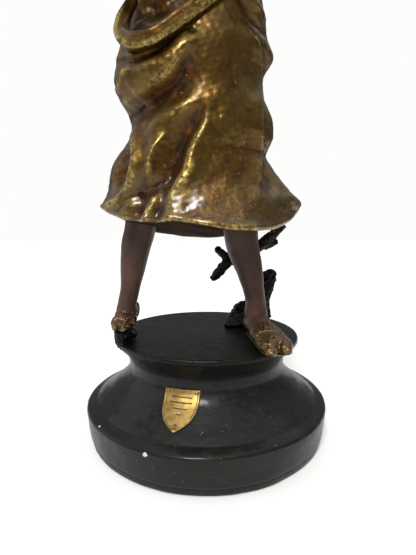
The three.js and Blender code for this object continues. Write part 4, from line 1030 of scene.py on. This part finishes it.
BRANCH_OUTER = (
    ((31, 20, 56, 4.5, 4.5), (40, 22, 60, 4.5, 4.5), (50, 25, 68, 3.9, 3.9), (59.8, 27, 75.2, 2.1, 2.1)),
    ((42, 23, 61, 3.7, 3.7), (47, 25, 61, 3.5, 3.5), (53.8, 26, 63.3, 2.5, 2.5)),
)


def lumpy(depth, size, seed):
    """Outward shift of each point: coarse and fine unevenness, never above depth."""
    def shift(points):
        return depth * (0.6 * ripple(points, size, seed) + 0.35 * ripple(points, size / 2.6, seed + 1) - 0.45)
    return shift


class FIGURINE_OT_groundwork(bpy.types.Operator):
    """Rock under the rear foot, root mound, trunk, broken stub and two forked branches"""

    bl_idname = "figurine.groundwork"
    bl_label = "Groundwork"

    def execute(self, context):
        bark = context.scene.figurine_body.bark_depth / MM
        rock = rounded(loft(ROCK, 60, 24, section=lambda a, t: 1 + 0.05 * np.sin(3 * t + 4 * a) - 0.02), 0.12)
        mound = loft(ROOT, 70, 30, section=lambda a, t: 1 + 0.06 * np.cos(5 * t) * (1 - a) - 0.03)
        trunk = rounded(loft(TRUNK, 56, 90, section=barked(0.09, 7)), 0.2)
        stub = rounded(loft(STUB, 48, 60, section=barked(0.08, 6)), 0.3)
        inner, outer = (
            [rounded(loft(path, 32, 50, side=(0, 0, 1), section=barked(0.07, 5)), 0.6) for path in branch]
            for branch in (BRANCH_INNER, BRANCH_OUTER))
        for name, node, parts, voxel, smoothing, lumps in (
            ("rock", "foot_rock", [rock], 0.5, 3, lumpy(1.0, 7, 31)),
            ("root", "root_mound", [rounded(mound, 0.05)], 0.6, 3, lumpy(1.1, 8, 33)),
            ("trunk", "tree_trunk", [trunk], 0.5, 2, lumpy(bark, 5, 35)),
            ("stub", "broken_stub", [stub], 0.45, 2, lumpy(bark, 5, 37)),
            ("inner_branch", "branch_inner", inner, 0.4, 2, lumpy(bark * 0.7, 3.5, 39)),
            ("outer_branch", "branch_outer", outer, 0.4, 2, lumpy(bark * 0.7, 3.5, 39)),
        ):
            fused_piece(f"{name}_casting", parts, voxel, smoothing, node, "bark_paint", lumps)
        return {"FINISHED"}


# ------------------------------------------------------------------ legs, feet and sandals

LEGS = {
    "right": ((-41.4, -8, 95.5, 10.6, 11.8), (-44.8, -9, 74, 10.4, 11.4), (-48.3, -10, 60, 9.8, 10.9),
              (-50, -13, 46, 8.2, 9.1), (-51.5, -16, 33, 6.4, 7.1), (-53, -18, 24, 6.2, 6.9),
              (-53.5, -18.5, 18.3, 6.9, 7.9)),
    "left": ((22, -4, 95.5, 12.3, 12.8), (23.5, -5, 72, 11.9, 12.4), (25.5, -6, 60, 11.1, 11.9),
             (29.8, -8, 45, 9.2, 10.1), (32.3, -10, 33, 7.5, 8.3), (33.8, -11.5, 24, 6.8, 7.5),
             (34.3, -12.5, 12.3, 7.7, 8.9)),
}
FEET = {
    "right": ((-50.5, -7, 20, 4, 4.5), (-51.6, -11, 18, 5.6, 6.8), (-53.4, -18, 16, 6.3, 7.2),
              (-54.2, -25, 14, 6.4, 5), (-54.4, -31, 12.6, 6.4, 3.7), (-54.6, -35, 12, 4.0, 2.6)),
    "left": ((31.5, -3, 7.4, 4, 4.5), (32.5, -8, 8.5, 6.8, 6.6), (34.5, -18, 9.2, 8.2, 7.3),
             (37, -31, 7.8, 8.8, 6.0), (39.2, -45, 6.6, 9.6, 5.0), (40.4, -54, 5.8, 9.4, 4.2),
             (41, -58, 5, 6, 2.8)),
}
SOLE_TOP = {"right": 8.3, "left": 2.0}   # where a bare foot stops
TOE_REACH = {"right": 3.0, "left": 5.0}
STRAPS = (   # name, foot, first and last station
    ("ankle", "right", 1.9, 2.7), ("toe", "right", 3.0, 4.3),
    ("instep", "left", 2.9, 3.9), ("toe", "left", 4.3, 5.8),
)
TOE_CAPS = {   # two rounded lobes at the tip of each sandal
    "right": (((-51.6, -30, 12.2, 3.2, 3.2), (-51.6, -35, 11.9, 3.3, 3.1), (-51.6, -38.4, 11.4, 2.2, 2.2)),
              ((-57.2, -30, 12.2, 2.9, 3.0), (-57.4, -34, 11.9, 3.0, 2.9), (-57.6, -37, 11.4, 2.0, 2.1))),
    "left": (((36.4, -48, 6.2, 5.4, 5.0), (36.5, -57, 5.8, 5.6, 4.6), (36.7, -63.4, 4.8, 3.8, 3.0)),
             ((45.0, -46, 6.0, 5.2, 4.8), (45.4, -56, 5.6, 5.2, 4.2), (45.8, -61.8, 4.8, 3.4, 2.8))),
}


def calf(back_turn):
    """Section of a leg: the calf muscle swells behind, the shin is a slight ridge in front."""
    def section(along, turn):
        swell = 0.05 * hump(along, 0.42, 0.22) * np.cos(turn - back_turn)
        shin = 0.03 * np.maximum(0, np.cos(turn - back_turn - math.pi)) ** 6
        bones = 0.05 * hump(along, 0.93, 0.05) * np.cos(2 * turn)
        return 0.995 + swell + shin + bones
    return section


def clipped(rings, floor):
    """Rings with nothing below a height."""
    flat = rings.copy()
    flat[..., 2] = np.maximum(flat[..., 2], floor)
    return flat


def toes(stations, count, floor, reach):
    """Small rounded lofts side by side at the end of a foot, the big toe on the inner side."""
    (x0, y0, z0, wide, _), (x1, y1, z1, _, _) = stations[-3], stations[-1]
    ahead = np.array([x1 - x0, y1 - y0, 0.0])
    ahead /= np.linalg.norm(ahead)
    across = np.array([-ahead[1], ahead[0], 0.0])
    inner = -1 if x0 > 0 else 1
    parts = []
    for i in range(count):
        place = (i / (count - 1)) * 2 - 1
        size = 2.5 - 0.9 * i / (count - 1)
        start = np.array([x0, y0, z0]) + across * (-inner * place) * (wide - 2.2)
        finish = start + ahead * (reach - 3.2 * (i / (count - 1)) ** 1.4)
        rows = [(*(start + (finish - start) * t), size * s, size * s * 0.85)
                for t, s in ((0, 1.0), (0.5, 0.92), (0.85, 1.05), (1.0, 0.8))]
        rows = [(x, y, max(z, floor + size * 0.85), a, b) for x, y, z, a, b in rows]
        parts.append(rounded(loft(rows, 20, 16, side=(0, 0, 1)), 0.8))
    return parts


def band(stations, first, last, thick, floor):
    """Strap across a foot between two stations: the foot's own section grown by thick, with soft edges."""
    full = np.array(stations, float)
    at = np.linspace(first, last, 26)
    rows = through(np.arange(len(full)), full, at)
    edge = np.sin(np.linspace(0.12, math.pi - 0.12, 26)) ** 0.5
    rows[:, 3] += thick * edge
    rows[:, 4] += thick * edge
    return clipped(loft([tuple(r) for r in rows], 60, 50, side=(0, 0, 1)), floor)


def sole_rings():
    """Flat sole under the front foot: the foot's outline set in 2 mm, with soft edges."""
    left = [(x - a + 2, y) for x, y, _, a, _ in FEET["left"]]
    right = [(x + a - 2, y) for x, y, _, a, _ in FEET["left"]]
    outline = np.array(left + right[::-1], float)
    count = len(outline)
    closed = np.vstack([outline, outline[:1]])
    around = through(np.arange(count + 1), closed, np.linspace(0, count, 120, endpoint=False))
    away = around - around.mean(axis=0)
    away /= np.linalg.norm(away, axis=1, keepdims=True)
    rings = []
    for z, grow in ((0.35, -0.5), (0.5, 0.0), (0.9, 0.25), (1.3, 0.15), (1.55, -0.4)):
        rings.append(np.column_stack([around + away * grow, np.full(len(around), z)]))
    return np.array(rings)


class FIGURINE_OT_legs(bpy.types.Operator):
    """Both legs from the skirt to the ankle"""

    bl_idname = "figurine.legs"
    bl_label = "Legs"

    def execute(self, context):
        for which, stations in LEGS.items():
            rings = loft(stations, 96, 120, section=calf(math.pi / 2))
            rings = rings + normals_of(rings) * (0.12 * ripple(rings, 9, 41))[..., None]
            ring_piece(f"{which}_leg_casting", rounded(rings, 0.06), f"leg_{which}", "flesh_paint")
        return {"FINISHED"}


class FIGURINE_OT_feet(bpy.types.Operator):
    """Both feet with toes, their gold straps, and the sole under the front foot"""

    bl_idname = "figurine.feet"
    bl_label = "Feet"

    def execute(self, context):
        lump = context.scene.figurine_body.strap_lump / MM
        for which, stations in FEET.items():
            floor = SOLE_TOP[which]
            lofts = [rounded(loft(stations, 60, 60, side=(0, 0, 1)), 0.5)]
            lofts += toes(stations, 5, floor, TOE_REACH[which])
            parts = [clipped(rings, floor) for rings in lofts]
            fused_piece(f"{which}_foot_casting", parts, 0.42, 4, f"foot_{which}", "flesh_paint",
                        lambda p: 0.08 * ripple(p, 4, 43))
        for strap, which, first, last in STRAPS:
            floor = SOLE_TOP[which] + 0.4
            parts = [rounded(band(FEET[which], first, last, 1.15, floor), 0.1)]
            if strap == "toe":
                lobes = [rounded(loft(lobe, 28, 24, side=(0, 0, 1)), 0.9) for lobe in TOE_CAPS[which]]
                parts += [clipped(lobe, floor) for lobe in lobes]
            fused_piece(f"{strap}_strap_{which}_moulding", parts, 0.4, 3, f"sandal_{strap}_strap_{which}",
                        "gold_paint", lumpy(lump, 3.4, 45))
        sole = ring_piece("left_sole_moulding", sole_rings(), "sandal_sole_left", "gold_paint")
        turn_outward(sole)
        return {"FINISHED"}


# ------------------------------------------------------------------ drapery

ROLL = ((34, -12, 232.5, 3.4, 3.4), (20, -23, 222, 4.2, 3.8), (8, -28, 212, 4.8, 4.0),
        (-2, -31.5, 203.5, 5.2, 4.2), (-13, -35.5, 194, 5.4, 4.6), (-24, -38, 185.5, 5.4, 4.8),
        (-34, -36.5, 181, 5.4, 5.0), (-43, -32, 182, 5.4, 5.2), (-49.5, -25, 188, 5.0, 5.0),
        (-51, -20, 196, 4.6, 4.6), (-49, -17, 204.5, 4.0, 4.0), (-44.5, -15, 213, 3.4, 3.4))


class FIGURINE_OT_skirt(bpy.types.Operator):
    """Skirt with its hem, front panel, deep diagonal folds and pleated back"""

    bl_idname = "figurine.skirt"
    bl_label = "Skirt"

    def execute(self, context):
        rings, marks = skirt_rings()
        ring_piece("skirt_casting", rings, "skirt", "gold_paint", marks)
        return {"FINISHED"}


class FIGURINE_OT_mantle(bpy.types.Operator):
    """Rolled edge of the mantle round the hip, and its fall down the back"""

    bl_idname = "figurine.mantle"
    bl_label = "Mantle"

    def execute(self, context):
        def flattened(along, turn):
            keel = 0.16 * hump(turn, 1.2 * np.pi, 0.3) - 0.1 * hump(turn, 1.5 * np.pi, 0.35)
            return 0.97 + keel + 0.03 * np.cos(3 * turn + 9 * along)
        rings = loft(ROLL, 110, 260, section=flattened)
        rings = rest_on_body(rings, 0.35)
        rings = rings + normals_of(rings) * (0.25 * ripple(rings, 8, 51))[..., None]
        rings = rounded(rings, 0.4)
        turn = np.linspace(0, 2 * np.pi, rings.shape[1], endpoint=False)
        # painted highlight: a bright band along the roll's keel, on one side of every ring, which the gold
        # paint brightens
        brightened = 0.35 + 0.9 * hump(turn, 1.25 * np.pi, 0.4)
        fold = np.tile(brightened, (len(rings), 1))
        ring_piece("mantle_roll_casting", rings, "mantle_roll", "gold_paint", fold)
        sheet, marks = mantle_sheet()
        fall = ring_piece("mantle_fall_casting", sheet, "mantle_back_fall", "gold_paint", marks)
        turn_outward(fall)
        return {"FINISHED"}


DRAPES = ((-26, -12), (-19, -8), (16, 2), (9, 0))   # x at the shoulder and x at the girdle


def bodice_rings():
    """The draped body from the girdle to the collar.

    It is pushed out by gathers over the girdle, soft ridges from the shoulders, and a collar bead.
    """
    turn = np.linspace(0, 2 * np.pi, 300, endpoint=False)
    front = np.clip((0.2 - np.sin(turn)) / 0.6, 0, 1)
    rings, marks = [], []
    for z in np.linspace(SEAM + 7.35, COLLAR - 0.1, 120):
        x = body(turn, z, fine=False)[0][:, 0]
        gather = 0.55 * np.cos(34 * turn + 3 * np.sin(z / 9)) * hump(z, SEAM + 7, 12)
        drape = 0
        for x0, x1 in DRAPES:
            line = ((x0, 276), ((x0 + x1) / 2, 258), (x1, 242))
            drape = drape + hump(near_line(x, z + 0 * x, line)[0], 0, 2.0)
        collar = 0.7 * hump(z, COLLAR - 2, 1.6)
        push = gather + front * 0.9 * drape + collar - 0.7
        rings.append(body(turn, z, push)[0])
        marks.append(push / 1.4)
    return np.array(rings), np.array(marks)


def girdle_rings():
    """Three twisted cords round the waist: half circles in height, rippled on a slant round the body."""
    turn = np.linspace(0, 2 * np.pi, 300, endpoint=False)
    low, high = SEAM + 0.35, SEAM + 6.95
    rings, marks = [], []
    for share in np.linspace(0, 1, 40):
        z = low + (high - low) * share
        cord = abs(math.sin(share * math.pi * 3)) ** 0.6
        twist = 0.3 * np.cos(60 * turn + 2.2 * math.sin(share * 9.4))
        push = 0.25 + 1.1 * cord + twist * cord
        rings.append(body(turn, z, push, fine=False)[0])
        marks.append(0 * turn + cord - 0.3)
    return np.array(rings), np.array(marks)


class FIGURINE_OT_bodice(bpy.types.Operator):
    """Bodice gathered into a corded girdle"""

    bl_idname = "figurine.bodice"
    bl_label = "Bodice"

    def execute(self, context):
        for name, (rings, marks) in (("bodice", bodice_rings()), ("girdle", girdle_rings())):
            ring_piece(f"{name}_casting", rings, name, "gold_paint", marks)
        return {"FINISHED"}


SLEEVES = {
    "right": ((-30, 0, 274, 9.8, 11.8), (-41, -2, 272, 11.2, 12.2), (-49, -8, 262, 11.7, 11.7),
              (-54, -14, 250.3, 11.2, 11.2)),
    "left": ((20, 0, 274, 9.8, 11.8), (31, -2, 272, 11.2, 12.2), (38, -6, 262, 11.7, 11.7),
             (43, -10, 250.3, 11.2, 11.2)),
}
ARMS = {
    "right": ((-52, -12, 254, 8.4, 8.4), (-56, -17, 241, 7.9, 7.9), (-58, -23, 229, 7.5, 7.5),
              (-51, -34, 226, 7.3, 7.3), (-38, -43, 230, 6.2, 6.2), (-27.4, -47.8, 233, 5.2, 4.8)),
    "left": ((41, -9, 254, 8.4, 8.4), (46, -12, 241, 7.9, 7.9), (48, -17, 229, 7.5, 7.5),
             (42, -27, 231, 7.3, 7.3), (32, -35, 243, 6.2, 6.2), (23.4, -38.8, 253.6, 5.2, 4.8)),
}
PALMS = {
    "right": ((-28.2, -47.6, 232.8, 4.8, 4.4), (-21, -50, 234, 6.6, 4.6), (-15.5, -50.2, 232.8, 6.6, 4.2)),
    "left": ((23.4, -38.4, 253.4, 4.8, 4.4), (19, -40, 259, 6.6, 4.6), (15, -39.4, 263.6, 6.6, 4.0)),
}


def fingers(stations, drop):
    """Four curled fingers off the end of a palm and a thumb at its side, as rounded lofts."""
    (x0, y0, z0, *_), (x1, y1, z1, wide, _) = stations[-2], stations[-1]
    ahead = np.array([x1 - x0, y1 - y0, z1 - z0])
    ahead /= np.linalg.norm(ahead)
    across = np.cross(ahead, [0, 1, 0])
    across /= np.linalg.norm(across)
    palm_down = np.array(drop, float)
    root = np.array([x1, y1, z1])
    parts = []
    for i, length in enumerate((6.6, 7.4, 7.0, 5.6)):
        start = root + across * (wide - 1.6) * (1 - i * 2 / 3) - ahead * 2
        rows = []
        for t, size in ((0, 2.0), (0.4, 1.8), (0.75, 1.65), (1.0, 1.2)):
            place = start + ahead * length * math.sin(t * 1.25) + palm_down * length * 0.55 * t * t
            rows.append((*place, size, size * 0.92))
        parts.append(rounded(loft(rows, 16, 14, side=(0, 1, 0.3)), 0.8))
    thumb = np.array([x0, y0, z0])
    rows = []
    for t, size in ((0, 2.3), (0.5, 2.0), (1.0, 1.4)):
        place = thumb + across * (3.2 + 3.4 * t) + ahead * 5.2 * t + palm_down * (1.0 + 1.2 * t)
        rows.append((*place, size, size))
    parts.append(rounded(loft(rows, 16, 12, side=(0.3, 1, 0)), 0.8))
    return parts


def creased(along, turn):
    """Section of a sleeve: slanting creases, and a fuller edge at the arm."""
    folds = 0.045 * np.cos(27 * along + 2 * np.cos(turn)) + 0.03 * np.cos(6 * turn + 4 * along)
    return 0.965 + folds + 0.05 * ease(along, 0.9, 1.0)


class FIGURINE_OT_arms(bpy.types.Operator):
    """Short sleeves, bent arms and hands"""

    bl_idname = "figurine.arms"
    bl_label = "Arms"

    def execute(self, context):
        for which in ("right", "left"):
            sleeve = loft(SLEEVES[which], 90, 90, section=creased)
            sleeve = sleeve + normals_of(sleeve) * (0.2 * ripple(sleeve, 7, 55))[..., None]
            sleeve = rounded(sleeve, 0.1)
            plain = np.full(sleeve.shape[:2], 0.2)
            ring_piece(f"{which}_sleeve_casting", sleeve, f"sleeve_{which}", "gold_paint", plain)
            arm = loft(ARMS[which], 72, 110, side=(0.2, 1, 0.1))
            ring_piece(f"{which}_arm_casting", rounded(arm, 0.1), f"arm_{which}", "flesh_paint")
            drop = (0, 0.35, -0.8) if which == "right" else (-0.2, 0.75, 0.1)
            parts = [rounded(loft(PALMS[which], 32, 24, side=(0, 0, 1)), 0.4)] + fingers(PALMS[which], drop)
            fused_piece(f"{which}_hand_casting", parts, 0.34, 3, f"hand_{which}", "flesh_paint")
        return {"FINISHED"}


# ------------------------------------------------------------------ head and hair

HEAD = {"x": -6.0, "y": -6.0, "z": 314.6, "wide": 16.2, "deep": 19.6, "tall": 23.4}
NECK = ((-6, 0, 285.3, 10.2, 9.8), (-6, -0.3, 291, 9.6, 9.6), (-6, -2, 299, 9.8, 10.2),
        (-6, -4, 308, 9.2, 10.2))


FACE = (   # height, then centre and width across, and centre and width up, as shares of the head
    (2.9, 0, 0.11, -0.22, 0.1),           # tip of the nose
    (0.8, 0.13, 0.06, -0.27, 0.05),       # sides of the nose
    (-2.3, 0.4, 0.2, 0.0, 0.12),          # eye sockets
    (1.4, 0.38, 0.13, -0.01, 0.07),       # eyes
    (-0.35, 0.38, 0.14, -0.035, 0.012),   # line between the lids
    (0.8, 0.38, 0.22, 0.15, 0.05),        # brows
    (1.0, 0, 0.22, -0.45, 0.045),         # upper lip
    (1.1, 0, 0.2, -0.56, 0.05),           # lower lip
    (-0.6, 0, 0.24, -0.505, 0.014),       # line of the mouth
    (-0.5, 0, 0.05, -0.385, 0.04),        # groove under the nose
    (-0.8, 0, 0.3, -0.65, 0.05),          # hollow over the chin
    (1.5, 0, 0.26, -0.8, 0.12),           # chin
    (0.7, 0.62, 0.2, -0.25, 0.2),         # cheeks
)


def head_rings():
    """Egg narrowing to the chin; its front is pushed out or in by a sum of bell curves, the FACE."""
    turn = np.linspace(0, 2 * np.pi, 240, endpoint=False)[None, :]
    polar = np.linspace(0.03, np.pi - 0.03, 200)[:, None]
    up = -np.cos(polar)
    belt = np.sin(polar)
    side = np.cos(turn)
    front = np.clip(-np.sin(turn), 0, 1)
    jaw = 1 - 0.22 * np.maximum(0, -up - 0.1)
    x = side * belt
    push = 1.9 * hump(x, 0, 0.085) * ease(up, -0.34, -0.2) * (1 - ease(up, -0.02, 0.16))
    for high, across, wide, level, tall in FACE:
        push = push + high * hump(np.abs(x), across, wide) * hump(up, level, tall)
    push = push * front
    rings = np.empty((200, 240, 3))
    rings[..., 0] = HEAD["x"] + HEAD["wide"] * jaw * x
    chin = np.where(up < 0, -1.5 * front * up, 0)
    rings[..., 1] = HEAD["y"] + (HEAD["deep"] + push) * belt * np.sin(turn) - chin
    rings[..., 2] = HEAD["z"] + HEAD["tall"] * up
    return rings


def ear(sign):
    """Ear as a small flattened loft at the side of the head."""
    x = HEAD["x"] + sign * (HEAD["wide"] * 0.97)
    rows = ((x, -3.6, 307.5, 1.0, 1.4), (x + 0.8 * sign, -3.0, 310.5, 1.3, 2.4),
            (x + 1.1 * sign, -2.2, 314.0, 1.3, 3.1), (x + 0.5 * sign, -2.0, 316.8, 0.9, 2.2))
    return rounded(loft(rows, 20, 16), 0.7)


class FIGURINE_OT_head(bpy.types.Operator):
    """Head with a calm, general face, and its neck"""

    bl_idname = "figurine.head"
    bl_label = "Head"

    def execute(self, context):
        neck = rounded(loft(NECK, 60, 40), 0.3)
        neck[..., 2] = np.maximum(neck[..., 2], 285.35)
        parts = [head_rings(), neck, ear(-1), ear(1)]
        fused_piece("head_casting", parts, 0.42, 2, "head", "flesh_paint")
        return {"FINISHED"}


HAIR = {"x": -6.0, "y": -3.2, "z": 317.6, "wide": 18.8, "deep": 21.4, "tall": 22.4}
KNOT = {"x": -6.0, "y": 20.0, "z": 311.0, "wide": 10.0, "deep": 8.5, "tall": 9.0}


def egg(shape, grow, turn, polar):
    """Rings of an ellipsoid whose three half sizes all grow by the same amount at a point."""
    return np.stack([
        shape["x"] + (shape["wide"] + grow) * np.sin(polar) * np.cos(turn),
        shape["y"] + (shape["deep"] + grow) * np.sin(polar) * np.sin(turn),
        shape["z"] - (shape["tall"] + grow) * np.cos(polar)], axis=-1)


def hair_rings():
    """Cap over the skull, hollow side drawn to the head: combed strands are ridges running back."""
    turn = np.linspace(0, 2 * np.pi, 260, endpoint=False)[None, :]
    levels = np.linspace(0, 1, 150)[:, None]
    front = np.clip(-np.sin(turn), 0, 1)
    lowest = -0.66 + 1.12 * front ** 1.1 + 0.10 * np.abs(np.cos(turn)) ** 4
    polar_low = np.arccos(np.clip(-lowest, -1, 1))
    polar = polar_low + (np.pi - 0.02 - polar_low) * levels
    up = -np.cos(polar)
    strands = 0.32 * np.cos(46 * turn + 5 * up) + 0.22 * np.cos(19 * turn - 7 * up)
    waves = 0.3 * np.cos(26 * up + 3 * np.cos(2 * turn))
    edge = ease(levels, 0.0, 0.06)
    grow = (strands + waves - 0.6) * edge - 1.2 * (1 - edge)
    outer = egg(HAIR, grow, turn, polar)
    inner = outer[::-1]
    centre = np.array([HEAD["x"], HEAD["y"], HEAD["z"]])
    axes = np.array([HEAD["wide"], HEAD["deep"], HEAD["tall"]]) * 0.97
    scaled = (inner - centre) / axes
    inner = centre + scaled / np.linalg.norm(scaled, axis=-1, keepdims=True) * axes
    return np.concatenate([inner, outer])


class FIGURINE_OT_hair(bpy.types.Operator):
    """Combed hair drawn back into a knot"""

    bl_idname = "figurine.hair"
    bl_label = "Hair"

    def execute(self, context):
        hair = hair_rings()
        cap = ring_piece("hair_casting", hair, "hair", "hair_paint")
        turn_outward(cap)
        turn = np.linspace(0, 2 * np.pi, 120, endpoint=False)[None, :]
        polar = np.linspace(0.03, np.pi - 0.03, 90)[:, None]
        coil = 0.5 * np.cos(18 * polar + 2 * turn) - 0.5
        ring_piece("hair_knot_casting", egg(KNOT, coil, turn, polar), "hair_knot", "hair_paint")
        return {"FINISHED"}


# ------------------------------------------------------------------ stage

def studio_world():
    """White backdrop; the light that it gives is bright overhead and dim near the horizon."""
    world = bpy.data.worlds.new("studio")
    world.use_nodes = True
    tree = world.node_tree
    tree.nodes.clear()
    seen = add(tree, "LightPath", {}, out="Is Camera Ray")
    spot = add(tree, "TexCoord", {}, out="Generated")
    up = add(tree, "SeparateXYZ", {0: spot}, out="Z")
    glow = add(tree, "MapRange", {0: up, 1: -0.1, 2: 1.0, 3: 0.10, 4: 0.55}, **EASED)
    strength = add(tree, "Mix", {0: seen, 2: glow, 3: 1.0}, data_type="FLOAT")
    white = add(tree, "Background", {"Color": linear("fdfdfc"), "Strength": strength})
    output = tree.nodes.new("ShaderNodeOutputWorld")
    tree.links.new(white, output.inputs["Surface"])
    return world


class FIGURINE_OT_stage(bpy.types.Operator):
    """Pale floor, soft lights and the camera"""

    bl_idname = "figurine.stage"
    bl_label = "Stage"

    def execute(self, context):
        scene = context.scene
        settings = scene.figurine_stage
        mesh = bpy.data.meshes.new("floor")
        mesh.from_pydata([(-4, -4, 0), (4, -4, 0), (4, 4, 0), (-4, 4, 0)], [], [(0, 1, 2, 3)])
        floor = bpy.data.objects.new("floor", mesh)
        scene.collection.objects.link(floor)
        material, tree, shader = new_material("pale_floor")
        join(tree, shader, {"Base Color": linear("f4f4f2"), "Roughness": 0.9})
        mesh.materials.append(material)
        scene.world = studio_world()
        for name, place, spread, strength in (
            ("key_light", (-0.16, -0.64, 0.76), 18, 2.9),
            ("side_light", (-0.95, 0.05, 0.45), 50, 0.45),
            ("top_light", (0.15, 0.25, 1.20), 70, 0.60),
        ):
            data = bpy.data.lights.new(name, "SUN")
            data.angle = math.radians(spread)
            data.energy = strength
            light = bpy.data.objects.new(name, data)
            scene.collection.objects.link(light)
            light.location = place
            flat = math.hypot(place[0], place[1])
            light.rotation_euler = (math.atan2(flat, place[2]), 0, math.atan2(place[0], -place[1]))
        scene.view_settings.view_transform = "Standard"
        lens = bpy.data.cameras.new("camera")
        lens.lens = settings.lens
        lens.sensor_width = 36
        lens.clip_start = 0.01
        camera = bpy.data.objects.new("camera", lens)
        scene.collection.objects.link(camera)
        camera.location = settings.camera_place
        camera.rotation_euler = (math.pi / 2 - settings.camera_pitch, 0, 0)
        scene.camera = camera
        return {"FINISHED"}


# ------------------------------------------------------------------ panel and registration

STEPS = (
    FIGURINE_OT_stage, FIGURINE_OT_plinth, FIGURINE_OT_ground_disc, FIGURINE_OT_shield, FIGURINE_OT_fixings,
    FIGURINE_OT_groundwork, FIGURINE_OT_legs, FIGURINE_OT_feet, FIGURINE_OT_skirt, FIGURINE_OT_mantle,
    FIGURINE_OT_bodice, FIGURINE_OT_arms, FIGURINE_OT_head, FIGURINE_OT_hair,
)
SETTINGS = {
    "figurine_plinth": FigurinePlinth, "figurine_body": FigurineBody,
    "figurine_paints": FigurinePaints, "figurine_stage": FigurineStage,
}


class FIGURINE_PT_sidebar(bpy.types.Panel):
    """Lists the pieces of the figurine"""

    bl_idname = "FIGURINE_PT_sidebar"
    bl_label = "Figurine"
    bl_space_type = "VIEW_3D"
    bl_region_type = "UI"
    bl_category = "Figurine"

    def draw(self, context):
        for step in STEPS:
            self.layout.operator(step.bl_idname)


def register():
    """Registers the settings, the operators and the panel."""
    for name, group in SETTINGS.items():
        bpy.utils.register_class(group)
        setattr(bpy.types.Scene, name, bpy.props.PointerProperty(type=group))
    for step in STEPS:
        bpy.utils.register_class(step)
    bpy.utils.register_class(FIGURINE_PT_sidebar)


def unregister():
    """Takes everything off again."""
    bpy.utils.unregister_class(FIGURINE_PT_sidebar)
    for step in reversed(STEPS):
        bpy.utils.unregister_class(step)
    for name, group in SETTINGS.items():
        delattr(bpy.types.Scene, name)
        bpy.utils.unregister_class(group)


def main():
    """Builds the figurine piece by piece."""
    register()
    for step in STEPS:
        family, action = step.bl_idname.split(".")
        getattr(getattr(bpy.ops, family), action)()


if __name__ == "__main__":
    main()
